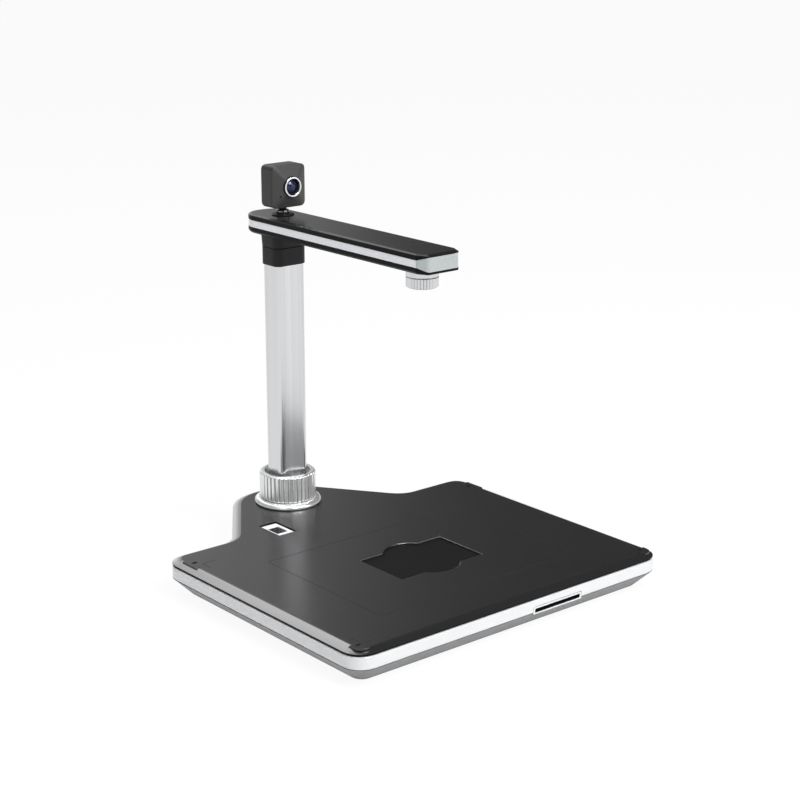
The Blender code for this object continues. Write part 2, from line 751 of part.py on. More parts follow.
# Data and power socket in the rear of the band, soldered to the main board
usb_z = BOARD_Z + BOARD_THICKNESS + FIT + USB_HEIGHT / 2
usb_corners = rectangle(USB_RIGHT, usb_z, USB_WIDTH, USB_HEIGHT, USB_R)
y_socket_rear = Y_REAR + BEVEL_WIDTH - FIT
y_socket_front = y_socket_rear - USB_DEPTH
usb_hole = loft(
    "usb_hole",
    [
        upright(outline(usb_corners, FIT, SHORT_STEPS), Y_REAR + BEVEL_WIDTH + FIT),
        upright(outline(usb_corners, FIT, SHORT_STEPS), Y_REAR + TONGUE_IN - FIT),
    ],
)
for wall in (bottom_cover, side_band, top_shell):
    change(wall, usb_hole)
loft(
    "usb_socket",
    [
        upright(outline(usb_corners, -USB_WALL, SHORT_STEPS), y_socket_front + USB_WALL),
        upright(outline(usb_corners, -USB_WALL, SHORT_STEPS), y_socket_rear),
        upright(outline(usb_corners, 0.0, SHORT_STEPS), y_socket_rear),
        upright(outline(usb_corners, 0.0, SHORT_STEPS), y_socket_front),
    ],
    STEEL,
)

# Feet and cover screws, four of each, under the panel's corners
foot_places = [
    (side * (HALF_LENGTH - FOOT_IN_X), y)
    for y in (Y_FRONT + FOOT_IN_Y, Y_REAR - FOOT_IN_Y)
    for side in (-1, 1)
]
for number, (x, y) in enumerate(foot_places, 1):
    z_seat = Z_UNDER + FOOT_RECESS
    change(bottom_cover, cylinder(f"foot_seat_{number}", x, y, FOOT_R + FIT, 0.0, z_seat, steps=FOOT_STEPS))
    cylinder(f"foot_{number}", x, y, FOOT_R, 0.0, z_seat - FIT, RUBBER, FOOT_STEPS)


def add_screw(name, x, y, z_head, up=SCREW_LENGTH):
    """A pan-head screw driven upwards, its head's underside at z_head."""
    z_seat = z_head + SCREW_HEAD_HEIGHT
    profile = [
        (0.0, z_head),
        (SCREW_HEAD_R * 0.8, z_head),
        (SCREW_HEAD_R, z_head + SCREW_HEAD_HEIGHT * 0.4),
        (SCREW_HEAD_R, z_seat),
        (SCREW_R, z_seat),
        (SCREW_R, z_seat + up),
        (0.0, z_seat + up),
    ]
    return lathe(name, profile, (x, y, 0.0), STEEL, closed=False, steps=HOLE_STEPS)


def screw_seat(cover, number, x, y, z_under, name):
    """A counterbore and a clearance hole for one screw, cut into a cover from below."""
    z_seat = z_under + SCREW_HEAD_HEIGHT + 2 * FIT
    z_end = z_under + SCREW_LENGTH
    change(cover, bore(f"{name}_head_{number}", x, y, SCREW_HEAD_R + FIT, z_under - FIT, z_seat))
    change(cover, bore(f"{name}_shank_{number}", x, y, SCREW_R + FIT, z_under, z_end))


def screw_boss(lid, number, x, y, z_low, z_high, name):
    """A boss moulded under a lid, with a blind hole for one screw."""
    z_end = z_low + SCREW_LENGTH
    change(lid, bore(f"{name}_boss_{number}", x, y, BOSS_R, z_low, z_high), "UNION")
    change(lid, bore(f"{name}_hole_{number}", x, y, SCREW_R + FIT, z_low - FIT, z_end))


screw_places = [
    (side * (HALF_LENGTH - SCREW_IN_X), y)
    for y in (Y_FRONT + SCREW_IN_Y, Y_REAR - SCREW_IN_Y)
    for side in (-1, 1)
]
for number, (x, y) in enumerate(screw_places, 1):
    screw_seat(bottom_cover, number, x, y, Z_UNDER, "cover")
    screw_boss(top_shell, number, x, y, Z_FLOOR + FIT, Z_CEILING + SHELL_THICKNESS / 2, "cover")
    add_screw(f"cover_screw_{number}", x, y, Z_UNDER + FIT)

# Column: an extruded tube in a cast socket, through a polished flange
column_corners = rectangle(0.0, Y_COLUMN, COLUMN_WIDTH, COLUMN_DEPTH, COLUMN_R)


def column_ring(offset, z):
    """The column's section at one offset and height."""
    return level(outline(column_corners, offset, COLUMN_STEPS), z)


column_hole = cylinder(
    "column_hole", 0.0, Y_COLUMN, SPIGOT_R + FIT, Z_CEILING - FIT, Z_PANEL + FIT, steps=ROUND_STEPS)
change(top_shell, column_hole)
column_socket = cylinder(
    "column_socket", 0.0, Y_COLUMN, SOCKET_R, Z_FLOOR + FIT, Z_CEILING - FIT, STEEL, ROUND_STEPS)
column_bore = loft("column_bore", [column_ring(FIT, Z_COLUMN_LOW - FIT), column_ring(FIT, Z_RING_TOP)])
change(column_socket, column_bore)
flange_z = Z_PANEL + FIT
flange_profile = [
    (0.0, Z_CEILING),
    (SPIGOT_R, Z_CEILING),
    (SPIGOT_R, flange_z),
    (FLANGE_R, flange_z),
    (FLANGE_R, flange_z + FLANGE_EDGE),
]
flange_round = 4
crown_width = FLANGE_R - RING_R
for step in range(1, flange_round + 1):
    angle = math.pi / 2 * step / flange_round
    crown_r = RING_R + crown_width * math.cos(angle)
    crown_z = flange_z + FLANGE_EDGE + (Z_FLANGE - flange_z - FLANGE_EDGE) * math.sin(angle)
    flange_profile.append((crown_r, crown_z))
flange_profile += [
    (HUB_R, Z_FLANGE),
    (HUB_R, Z_FLANGE + HUB_HEIGHT - FLANGE_EDGE),
    (HUB_R - FLANGE_EDGE, Z_FLANGE + HUB_HEIGHT),
    (0.0, Z_FLANGE + HUB_HEIGHT),
]
column_flange = lathe(
    "column_flange", flange_profile, (0.0, Y_COLUMN, 0.0), POLISHED, closed=False, steps=ROUND_STEPS)
change(column_flange, column_bore)
loft(
    "column_tube",
    [
        column_ring(0.0, Z_COLUMN_LOW),
        column_ring(0.0, Z_COLUMN_TOP),
        column_ring(-COLUMN_WALL, Z_COLUMN_TOP),
        column_ring(-COLUMN_WALL, Z_COLUMN_LOW),
    ],
    ALUMINIUM,
    closed=True,
)
z_plug = Z_COLUMN_LOW + FIT
z_plug_top = z_plug + PLUG_HEIGHT
loft(
    "column_plug",
    [column_ring(-COLUMN_WALL - FIT, z_plug), column_ring(-COLUMN_WALL - FIT, z_plug_top)],
    MATT_BLACK,
)

# Swivel: lower collar in the column's end, washer, hollow shaft and nut
z_spigot = Z_COLLAR - COLLAR_SPIGOT
z_nut_top = z_spigot - FIT
z_nut = z_nut_top - NUT_HEIGHT
z_shaft = z_nut - FIT
cylinder("camera_cable", 0.0, Y_COLUMN, CABLE_R, z_plug_top + FIT, z_shaft - FIT, RUBBER, 12)
column_collar = loft(
    "column_collar",
    [
        column_ring(-COLUMN_WALL - FIT, z_spigot),
        column_ring(-COLUMN_WALL - FIT, Z_COLLAR),
        column_ring(COLLAR_MARGIN, Z_COLLAR),
        column_ring(COLLAR_MARGIN, Z_SWIVEL),
    ],
    MATT_BLACK,
)
shaft_hole = cylinder(
    "shaft_hole", 0.0, Y_COLUMN, SHAFT_R + FIT, z_shaft, Z_ARM_FLOOR + FIT, steps=FOOT_STEPS)
change(column_collar, shaft_hole)
washer_seat = cylinder(
    "washer_seat", 0.0, Y_COLUMN, WASHER_R + FIT, Z_SWIVEL - WASHER_SEAT, Z_ARM_COLLAR, steps=FOOT_STEPS)
change(column_collar, washer_seat)
z_washer = Z_SWIVEL - WASHER_SEAT + FIT
washer_profile = [
    (SHAFT_R + FIT, z_washer),
    (WASHER_R, z_washer),
    (WASHER_R, Z_ARM_COLLAR - FIT),
    (SHAFT_R + FIT, Z_ARM_COLLAR - FIT),
]
lathe("friction_washer", washer_profile, (0.0, Y_COLUMN, 0.0), WHITE, steps=FOOT_STEPS)

# Lock ring: knurled, turns on the flange's hub and clamps the column
ring_axis = axis_empty("lock_ring_axis", (0.0, Y_COLUMN, Z_FLANGE))
ring_centre = (0.0, Y_COLUMN)
ring_low = Z_FLANGE + FIT
ring_chamfer = 0.0012
ring_plain = RING_R - RING_RIB_DEPTH
ring_shapes = (
    (RING_BORE_R, 0.0, ring_low),
    (ring_plain, 0.0, ring_low),
    (RING_R, RING_RIB_DEPTH, ring_low + ring_chamfer),
    (RING_R, RING_RIB_DEPTH, Z_RING_TOP - ring_chamfer),
    (ring_plain - ring_chamfer / 2, 0.0, Z_RING_TOP),
    (RING_BORE_R, 0.0, Z_RING_TOP),
)
lock_ring = loft(
    "lock_ring",
    [ribbed(radius, depth, RING_RIBS, z, ring_centre) for radius, depth, z in ring_shapes],
    POLISHED,
    closed=True,
)
ride(ring_axis, lock_ring)

# Arm outline: round rear end, slanted front corners
ARM_HALF = ARM_WIDTH / 2
Y_ARM_REAR = Y_COLUMN + ARM_BACK
Y_ARM_CUT = Y_ARM_FRONT + ARM_CUT_LENGTH
rear_r = min(ARM_REAR_R, ARM_HALF - FIT)
ARM_CORNERS = (
    (-ARM_HALF + ARM_CUT_WIDTH, Y_ARM_FRONT, ARM_CORNER_R),
    (ARM_HALF - ARM_CUT_WIDTH, Y_ARM_FRONT, ARM_CORNER_R),
    (ARM_HALF, Y_ARM_CUT, ARM_CORNER_R),
    (ARM_HALF, Y_ARM_REAR, rear_r),
    (-ARM_HALF, Y_ARM_REAR, rear_r),
    (-ARM_HALF, Y_ARM_CUT, ARM_CORNER_R),
)


def front_share(y):
    """0 along the arm's sides, rising to 1 over the slanted corners to the front face."""
    return min(max((Y_ARM_CUT - y) / ARM_CUT_LENGTH, 0.0), 1.0)


def arm_ring(offset, height, front_height=None):
    """The arm outline at one offset; its height above the arm's underside may change at the front."""
    rise = 0.0 if front_height is None else front_height - height
    points = outline(ARM_CORNERS, offset)
    return [(x, y, Z_ARM + height + rise * front_share(y)) for x, y in points]


BAND_FRONT_LOW = ARM_BAND_LOW - ARM_BAND_FLARE
BAND_FRONT_HIGH = ARM_BAND_HIGH + ARM_BAND_FLARE
arm_axis = axis_empty("arm_axis", (0.0, Y_COLUMN, Z_SWIVEL))
arm_bottom_cover = loft(
    "arm_bottom_cover",
    [
        arm_ring(-ARM_WALL, ARM_WALL),
        arm_ring(-ARM_WALL, ARM_BAND_LOW - FIT, BAND_FRONT_LOW - FIT),
        arm_ring(0.0, ARM_BAND_LOW - FIT, BAND_FRONT_LOW - FIT),
        arm_ring(0.0, ARM_LOW_EDGE, ARM_LOW_EDGE_FRONT),
        arm_ring(-ARM_LOW_EDGE, 0.0),
    ],
    MATT_BLACK,
)
arm_top_cover = loft(
    "arm_top_cover",
    [
        arm_ring(-ARM_WALL, ARM_HEIGHT - ARM_WALL),
        arm_ring(-ARM_WALL, ARM_BAND_HIGH + FIT, BAND_FRONT_HIGH + FIT),
        arm_ring(0.0, ARM_BAND_HIGH + FIT, BAND_FRONT_HIGH + FIT),
        arm_ring(0.0, ARM_HEIGHT - ARM_TOP_EDGE),
        arm_ring(-ARM_TOP_CROWN / 3, ARM_HEIGHT - ARM_TOP_EDGE / 3),
        arm_ring(-ARM_TOP_CROWN, ARM_HEIGHT),
    ],
    GLOSS_BLACK,
)
band_in = ARM_BAND_SINK + ARM_WALL
band_rings = [
    arm_ring(-ARM_BAND_SINK, ARM_BAND_LOW, BAND_FRONT_LOW),
    arm_ring(-ARM_BAND_SINK, ARM_BAND_HIGH, BAND_FRONT_HIGH),
    arm_ring(-band_in, ARM_BAND_HIGH, BAND_FRONT_HIGH),
    arm_ring(-band_in, ARM_BAND_LOW, BAND_FRONT_LOW),
]
arm_band = loft("arm_band", band_rings, SILVER, closed=True)
arm_end_cap = loft("arm_end_cap", band_rings, SILVER, closed=True)
cut_low = (-ARM_WIDTH, Y_ARM_FRONT - ARM_WIDTH, Z_ARM - ARM_HEIGHT)
cut_high = (ARM_WIDTH, Y_ARM_CUT, Z_ARM_TOP + ARM_HEIGHT)
front_half = box("front_half", cut_low, cut_high)
change(arm_end_cap, front_half, "INTERSECT")
front_cut = box("front_cut", cut_low, (ARM_WIDTH, Y_ARM_CUT + FIT, Z_ARM_TOP + ARM_HEIGHT))
change(arm_band, front_cut)

# Upper collar and shaft, both fixed to the arm
arm_collar = loft(
    "arm_collar",
    [
        column_ring(COLLAR_MARGIN, Z_ARM_COLLAR),
        column_ring(COLLAR_MARGIN + COLLAR_FLARE, Z_ARM_COLLAR + ARM_COLLAR_HEIGHT),
    ],
    MATT_BLACK,
)
change(arm_collar, shaft_hole)
change(arm_bottom_cover, shaft_hole)
z_shaft_flange = Z_ARM_FLOOR + FIT
shaft_profile = [
    (SHAFT_BORE_R, z_shaft),
    (SHAFT_R, z_shaft),
    (SHAFT_R, z_shaft_flange),
    (SHAFT_FLANGE_R, z_shaft_flange),
    (SHAFT_FLANGE_R, z_shaft_flange + SHAFT_FLANGE_HEIGHT),
    (SHAFT_BORE_R, z_shaft_flange + SHAFT_FLANGE_HEIGHT),
]
swivel_shaft = lathe("swivel_shaft", shaft_profile, (0.0, Y_COLUMN, 0.0), STEEL, steps=FOOT_STEPS)
swivel_nut = prism("swivel_nut", circle(0.0, Y_COLUMN, NUT_R, 6), z_nut, z_nut_top, STEEL)
change(swivel_nut, shaft_hole)

# Main lens: boss under the arm, fixed collar, barrel with glass, camera board on top
y_lens = Y_SCAN
lens_boss = cylinder(
    "lens_boss", 0.0, y_lens, LENS_BOSS_R, Z_ARM - LENS_BOSS_HEIGHT, Z_ARM + ARM_WALL / 2, steps=ROUND_STEPS)
change(arm_bottom_cover, lens_boss, "UNION")
change(arm_bottom_cover, cylinder("barrel_hole", 0.0, y_lens, BARREL_R + FIT, Z_FOCUS_LOW, Z_ARM_FLOOR + FIT))
z_barrel = Z_FOCUS_LOW + BARREL_SINK
z_barrel_flange = Z_ARM_FLOOR + FIT
z_barrel_neck = z_barrel_flange + BARREL_FLANGE_HEIGHT
z_barrel_top = z_barrel_neck + BARREL_NECK_HEIGHT
barrel_profile = [
    (BARREL_BORE_R + FIT, z_barrel),
    (BARREL_R, z_barrel),
    (BARREL_R, z_barrel_flange),
    (BARREL_FLANGE_R, z_barrel_flange),
    (BARREL_FLANGE_R, z_barrel_neck),
    (BARREL_NECK_R, z_barrel_neck),
    (BARREL_NECK_R, z_barrel_top),
    (BARREL_BORE_R, z_barrel_top),
    (BARREL_BORE_R, z_barrel + GLASS_SINK + GLASS_HEIGHT),
    (BARREL_BORE_R + FIT, z_barrel + GLASS_SINK + GLASS_HEIGHT),
]
lens_barrel = lathe("lens_barrel", barrel_profile, (0.0, y_lens, 0.0), MATT_BLACK, steps=FOOT_STEPS)
z_glass = z_barrel + GLASS_SINK
glass_profile = [
    (0.0, z_glass - GLASS_HEIGHT / 2),
    (BARREL_BORE_R / 2, z_glass - GLASS_HEIGHT / 3),
    (BARREL_BORE_R, z_glass + GLASS_HEIGHT / 4),
    (BARREL_BORE_R, z_glass + GLASS_HEIGHT - FIT),
    (0.0, z_glass + GLASS_HEIGHT - FIT),
]
lens_glass = lathe("lens_glass", glass_profile, (0.0, y_lens, 0.0), GLASS_DARK, closed=False)
lens_collar_profile = [
    (BARREL_R + FIT, Z_LENS_COLLAR - LENS_COLLAR_HEIGHT),
    (FOCUS_R, Z_LENS_COLLAR - LENS_COLLAR_HEIGHT),
    (FOCUS_R, Z_LENS_COLLAR),
    (BARREL_R + FIT, Z_LENS_COLLAR),
]
lens_collar = lathe("lens_collar", lens_collar_profile, (0.0, y_lens, 0.0), ALUMINIUM, steps=32)
z_camera_board = z_barrel_top + FIT
board_half = ARM_HALF - band_in - CAMERA_BOARD_GAP
camera_board = box(
    "camera_board",
    (-board_half, y_lens - CAMERA_BOARD_LENGTH / 2, z_camera_board),
    (board_half, y_lens + CAMERA_BOARD_LENGTH / 2, z_camera_board + BOARD_THICKNESS),
    BOARD_GREEN,
)
focus_axis = axis_empty("focus_axis", (0.0, y_lens, Z_FOCUS_TOP))
focus_centre = (0.0, y_lens)
focus_plain = FOCUS_R - FOCUS_RIB_DEPTH
focus_chamfer = 0.0010
focus_shapes = (
    (BARREL_R + FIT, 0.0, Z_FOCUS_LOW),
    (focus_plain - focus_chamfer, 0.0, Z_FOCUS_LOW),
    (FOCUS_R, FOCUS_RIB_DEPTH, Z_FOCUS_LOW + focus_chamfer),
    (FOCUS_R, FOCUS_RIB_DEPTH, Z_FOCUS_TOP - focus_chamfer / 2),
    (focus_plain, 0.0, Z_FOCUS_TOP),
    (BARREL_R + FIT, 0.0, Z_FOCUS_TOP),
)
focus_ring = loft(
    "focus_ring",
    [ribbed(radius, depth, FOCUS_RIBS, z, focus_centre) for radius, depth, z in focus_shapes],
    ALUMINIUM,
    closed=True,
)
ride(focus_axis, focus_ring)

# Lamp window in the arm's underside, behind the lens
y_lamp = y_lens + LAMP_BACK
lamp_corners = rectangle(0.0, y_lamp, LAMP_WIDTH, LAMP_LENGTH, LAMP_LENGTH / 4)
lamp_top = Z_ARM_FLOOR + FIT
change(arm_bottom_cover, prism("lamp_hole", outline(lamp_corners, FIT, SHORT_STEPS), Z_ARM - FIT, lamp_top))
lamp_window = prism("lamp_window", outline(lamp_corners, 0.0, SHORT_STEPS), Z_ARM + FIT, lamp_top, LAMP_WHITE)

# Arm screws, driven up into bosses under the top cover
arm_screws = []
arm_screw_places = [
    (side * (ARM_HALF - ARM_SCREW_IN), Y_COLUMN - reach)
    for reach in (ARM_SCREW_NEAR, ARM_SCREW_FAR)
    for side in (-1, 1)
]
for number, (x, y) in enumerate(arm_screw_places, 1):
    screw_seat(arm_bottom_cover, number, x, y, Z_ARM, "arm")
    screw_boss(arm_top_cover, number, x, y, Z_ARM_FLOOR + FIT, Z_ARM_CEILING + ARM_WALL / 2, "arm")
    arm_screws.append(add_screw(f"arm_screw_{number}", x, y, Z_ARM + FIT))

# Foot of the second camera, on top of the arm
z_foot = Z_ARM_TOP + FIT
z_foot_top = z_foot + CAM_FOOT_HEIGHT
foot_profile = [
    (CAM_FOOT_BORE_R, z_foot),
    (CAM_FOOT_R, z_foot),
    (CAM_FOOT_R, z_foot + CAM_FOOT_HEIGHT / 3),
    (CAM_FOOT_TOP_R, z_foot_top),
    (CAM_FOOT_BORE_R, z_foot_top),
]
cam_foot = lathe("cam_foot", foot_profile, (0.0, Y_COLUMN, 0.0), MATT_BLACK)
ride(
    arm_axis, arm_bottom_cover, arm_top_cover, arm_band, arm_end_cap, arm_collar, swivel_shaft, swivel_nut,
    lens_barrel, lens_glass, lens_collar, camera_board, lamp_window, cam_foot, *arm_screws)

# Pan: the socket ring turns on the foot and holds the ball
pan_axis = axis_empty("cam_pan_axis", (0.0, Y_COLUMN, z_foot_top))
z_socket = z_foot_top + FIT
z_socket_top = Z_BALL + CAM_SOCKET_ABOVE
socket_bore = CAM_BALL_R + FIT
socket_profile = [
    (socket_bore, z_socket),
    (CAM_SOCKET_R - FIT, z_socket),
    (CAM_SOCKET_R, z_socket + 2 * FIT),
    (CAM_SOCKET_R, z_socket_top - 3 * FIT),
    (CAM_SOCKET_R - 3 * FIT, z_socket_top),
    (socket_bore, z_socket_top),
]
ride(pan_axis, lathe("cam_socket_ring", socket_profile, (0.0, Y_COLUMN, 0.0), POLISHED))

# Tilt: ball and neck carry the camera's two shells, lens and board
tilt_axis = axis_empty("cam_tilt_axis", (0.0, Y_COLUMN, Z_BALL))
neck_angle = math.acos(CAM_NECK_R / CAM_BALL_R)
ball_steps = 6
stem_profile = [(0.0, Z_BALL - CAM_BALL_R)]
for step in range(1, ball_steps + 1):
    angle = -math.pi / 2 + (neck_angle + math.pi / 2) * step / ball_steps
    stem_profile.append((CAM_BALL_R * math.cos(angle), Z_BALL + CAM_BALL_R * math.sin(angle)))
z_stem_top = Z_CAM_LOW - FIT
stem_profile += [(CAM_NECK_FLARE_R, z_stem_top - FIT), (CAM_NECK_FLARE_R, z_stem_top), (0.0, z_stem_top)]
cam_stem = lathe("cam_stem", stem_profile, (0.0, Y_COLUMN, 0.0), MATT_BLACK, closed=False, steps=FOOT_STEPS)
y_rim = Y_CAM_FRONT + CAM_RIM
y_nose = Y_CAM_FRONT - CAM_NOSE
cam_corners = rectangle(0.0, Z_CAM, CAM_WIDTH, CAM_HEIGHT, CAM_EDGE_R)
nose_corners = rectangle(0.0, Z_CAM, CAM_NOSE_FLAT, CAM_NOSE_FLAT, CAM_WALL)


def cam_ring(offset, y):
    """The second camera's square section at one offset, standing at y."""
    return upright(outline(cam_corners, offset, SHORT_STEPS), y)


cam_rear_shell = loft(
    "cam_rear_shell",
    [
        cam_ring(-CAM_WALL, Y_CAM_REAR - CAM_WALL),
        cam_ring(-CAM_WALL, y_rim),
        cam_ring(0.0, y_rim),
        cam_ring(0.0, Y_CAM_REAR - CAM_WALL),
        cam_ring(-CAM_WALL / 4, Y_CAM_REAR - CAM_WALL / 4),
        cam_ring(-CAM_WALL, Y_CAM_REAR),
    ],
    SOFT_GREY,
)
cam_front_shell = loft(
    "cam_front_shell",
    [
        upright(outline(nose_corners, -CAM_WALL / 2, SHORT_STEPS), y_nose + CAM_WALL),
        cam_ring(-CAM_WALL, Y_CAM_FRONT + CAM_WALL / 2),
        cam_ring(-CAM_WALL, y_rim - FIT),
        cam_ring(0.0, y_rim - FIT),
        cam_ring(0.0, Y_CAM_FRONT + CAM_WALL / 4),
        cam_ring(-CAM_WALL / 4, Y_CAM_FRONT),
        upright(outline(nose_corners, 0.0, SHORT_STEPS), y_nose),
    ],
    SOFT_GREY,
)


def front_hole(name, x, z, radius, steps):
    """A round hole through the camera's front shell."""
    near = CAM_DEPTH / 2 - CAM_WALL
    profile = [(0.0, near), (radius, near), (radius, CAM_DEPTH), (0.0, CAM_DEPTH)]
    change(cam_front_shell, lathe(name, profile, (x, Y_CAM, z), closed=False, forward=True, steps=steps))


front_hole("cam_lens_hole", 0.0, Z_CAM, CAM_LENS_RING_R + FIT, ROUND_STEPS)
front_hole("mic_hole", -MIC_LEFT, Z_CAM - MIC_DOWN, MIC_R, HOLE_STEPS)
lens_front = CAM_DEPTH / 2 + CAM_NOSE + CAM_LENS_PROUD
lens_ring_profile = [
    (CAM_LENS_RING_BORE_R, lens_front - CAM_LENS_RING_DEPTH),
    (CAM_LENS_RING_R, lens_front - CAM_LENS_RING_DEPTH),
    (CAM_LENS_RING_R, lens_front - 2 * FIT),
    (CAM_LENS_RING_R - 2 * FIT, lens_front),
    (CAM_LENS_RING_BORE_R + 2 * FIT, lens_front),
    (CAM_LENS_RING_BORE_R, lens_front - 3 * FIT),
]
cam_lens_ring = lathe(
    "cam_lens_ring", lens_ring_profile, (0.0, Y_CAM, Z_CAM), POLISHED, forward=True, steps=32)
lens_r = CAM_LENS_RING_BORE_R - FIT
lens_rear = lens_front - CAM_LENS_LENGTH
cam_lens_profile = [
    (0.0, lens_rear),
    (lens_r, lens_rear),
    (lens_r, lens_front - 7 * FIT),
    (lens_r * 0.7, lens_front - 4 * FIT),
    (lens_r * 0.35, lens_front - 3 * FIT),
    (0.0, lens_front - 3 * FIT),
]
cam_lens = lathe(
    "cam_lens", cam_lens_profile, (0.0, Y_CAM, Z_CAM), GLASS_DARK, closed=False, forward=True)
y_cam_board = Y_CAM - lens_rear + FIT
cam_sensor_board = box(
    "cam_sensor_board",
    (-CAM_BOARD / 2, y_cam_board, Z_CAM - CAM_BOARD / 2),
    (CAM_BOARD / 2, y_cam_board + BOARD_THICKNESS, Z_CAM + CAM_BOARD / 2),
    BOARD_GREEN,
)
ride(tilt_axis, cam_stem, cam_rear_shell, cam_front_shell, cam_lens_ring, cam_lens, cam_sensor_board)
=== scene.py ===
import json
import math

import bpy
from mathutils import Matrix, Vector

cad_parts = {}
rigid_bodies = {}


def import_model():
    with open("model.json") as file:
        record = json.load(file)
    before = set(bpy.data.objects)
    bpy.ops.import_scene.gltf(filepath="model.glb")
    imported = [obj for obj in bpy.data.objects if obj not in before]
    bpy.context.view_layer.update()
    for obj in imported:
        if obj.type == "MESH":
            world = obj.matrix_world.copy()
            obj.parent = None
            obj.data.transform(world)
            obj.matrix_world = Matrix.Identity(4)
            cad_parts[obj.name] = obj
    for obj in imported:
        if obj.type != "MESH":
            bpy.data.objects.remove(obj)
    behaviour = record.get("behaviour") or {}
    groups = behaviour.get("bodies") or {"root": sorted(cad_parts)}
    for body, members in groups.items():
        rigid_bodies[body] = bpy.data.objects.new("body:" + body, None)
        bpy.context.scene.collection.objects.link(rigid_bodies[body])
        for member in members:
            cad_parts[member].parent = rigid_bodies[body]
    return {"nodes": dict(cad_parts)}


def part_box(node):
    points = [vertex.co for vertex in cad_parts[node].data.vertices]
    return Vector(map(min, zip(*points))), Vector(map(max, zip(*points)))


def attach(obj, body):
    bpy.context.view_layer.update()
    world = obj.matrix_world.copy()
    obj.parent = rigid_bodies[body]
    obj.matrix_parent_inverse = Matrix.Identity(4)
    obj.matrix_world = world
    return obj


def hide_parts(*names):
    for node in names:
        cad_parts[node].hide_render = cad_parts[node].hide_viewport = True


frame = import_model()
scene_pieces = bpy.context.scene.collection.objects
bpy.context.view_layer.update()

# ---------------------------------------------------------------- bottom tray
# The grey tray that everything stands in: a flat floor and a skirt that slopes in towards
# the table. It is moulded from satin ABS with a fine spark grain; screws hold the shell on it.
MERGE = 0.00001
SLIVER = 0.000002
TRAY_EDGE = 0.0005


def pick(piece):
    """Leaves only this piece selected and active."""
    bpy.ops.object.select_all(action="DESELECT")
    piece.select_set(True)
    bpy.context.view_layer.objects.active = piece


def from_frame(node, name):
    """A copy of a frame node with its triangles merged and its flat faces joined."""
    piece = bpy.data.objects.new(name, frame["nodes"][node].data.copy())
    scene_pieces.link(piece)
    pick(piece)
    bpy.ops.object.mode_set(mode="EDIT")
    bpy.ops.mesh.select_all(action="SELECT")
    bpy.ops.mesh.customdata_custom_splitnormals_clear()
    bpy.ops.mesh.remove_doubles(threshold=MERGE)
    bpy.ops.mesh.dissolve_limited(angle_limit=math.radians(0.5))
    bpy.ops.object.mode_set(mode="OBJECT")
    return piece


def soften(piece, width, steps=3, angle=35):
    """Rounds every edge sharper than the angle, closes the mesh and shades it smoothly."""
    pick(piece)
    edges = piece.modifiers.new("edges", "BEVEL")
    edges.width = width
    edges.segments = steps
    edges.limit_method = "ANGLE"
    edges.angle_limit = math.radians(angle)
    bpy.ops.object.modifier_apply(modifier="edges")
    bpy.ops.object.mode_set(mode="EDIT")
    bpy.ops.mesh.select_all(action="SELECT")
    bpy.ops.mesh.remove_doubles(threshold=SLIVER)
    bpy.ops.mesh.dissolve_degenerate(threshold=SLIVER)
    bpy.ops.mesh.fill_holes(sides=0)
    bpy.ops.object.mode_set(mode="OBJECT")
    bpy.ops.object.shade_smooth_by_angle(angle=math.radians(angle))
    piece.modifiers.new("shading", "WEIGHTED_NORMAL").keep_sharp = True
    bpy.ops.object.modifier_apply(modifier="shading")


def finish(name, shade, gloss, grain=2400.0, relief=0.05, metal=0.0, mottle=0.04,
           stretch=(1, 1, 1), mirror=0.5, cloud=22.0):
    """A surface of one shade: soft clouds move its shade and gloss, fine grain roughens it."""
    material = bpy.data.materials.new(name)
    material.use_nodes = True
    nodes, links = material.node_tree.nodes, material.node_tree.links
    shader = nodes["Principled BSDF"]
    shader.inputs["Metallic"].default_value = metal
    shader.inputs["Specular IOR Level"].default_value = mirror
    place = nodes.new("ShaderNodeTexCoord")
    turn = nodes.new("ShaderNodeMapping")
    turn.inputs["Scale"].default_value = stretch
    links.new(place.outputs["Object"], turn.inputs["Vector"])
    fine = nodes.new("ShaderNodeTexNoise")
    fine.inputs["Scale"].default_value = grain
    fine.inputs["Detail"].default_value = 3.0
    links.new(turn.outputs["Vector"], fine.inputs["Vector"])
    clouds = nodes.new("ShaderNodeTexNoise")
    clouds.inputs["Scale"].default_value = cloud
    clouds.inputs["Detail"].default_value = 4.0
    links.new(turn.outputs["Vector"], clouds.inputs["Vector"])
    tone = nodes.new("ShaderNodeMix")
    tone.data_type = "RGBA"
    tone.inputs["A"].default_value = (*[c * (1 - mottle) for c in shade], 1)
    tone.inputs["B"].default_value = (*[c * (1 + mottle) for c in shade], 1)
    links.new(clouds.outputs["Fac"], tone.inputs["Factor"])
    links.new(tone.outputs["Result"], shader.inputs["Base Color"])
    level = nodes.new("ShaderNodeMapRange")
    level.inputs["From Min"].default_value = 0.3
    level.inputs["From Max"].default_value = 0.7
    level.inputs["To Min"].default_value = gloss[0]
    level.inputs["To Max"].default_value = gloss[1]
    both = nodes.new("ShaderNodeMath")
    both.operation = "MULTIPLY_ADD"
    both.inputs[1].default_value = 0.5
    links.new(fine.outputs["Fac"], both.inputs[0])
    half = nodes.new("ShaderNodeMath")
    half.operation = "MULTIPLY"
    half.inputs[1].default_value = 0.5
    links.new(clouds.outputs["Fac"], half.inputs[0])
    links.new(half.outputs[0], both.inputs[2])
    links.new(both.outputs[0], level.inputs["Value"])
    links.new(level.outputs["Result"], shader.inputs["Roughness"])
    bump = nodes.new("ShaderNodeBump")
    bump.inputs["Strength"].default_value = relief
    bump.inputs["Distance"].default_value = 0.0001
    links.new(fine.outputs["Fac"], bump.inputs["Height"])
    links.new(bump.outputs["Normal"], shader.inputs["Normal"])
    return material


def paint(piece, material):
    """Gives a piece one material all over."""
    piece.data.materials.clear()
    piece.data.materials.append(material)


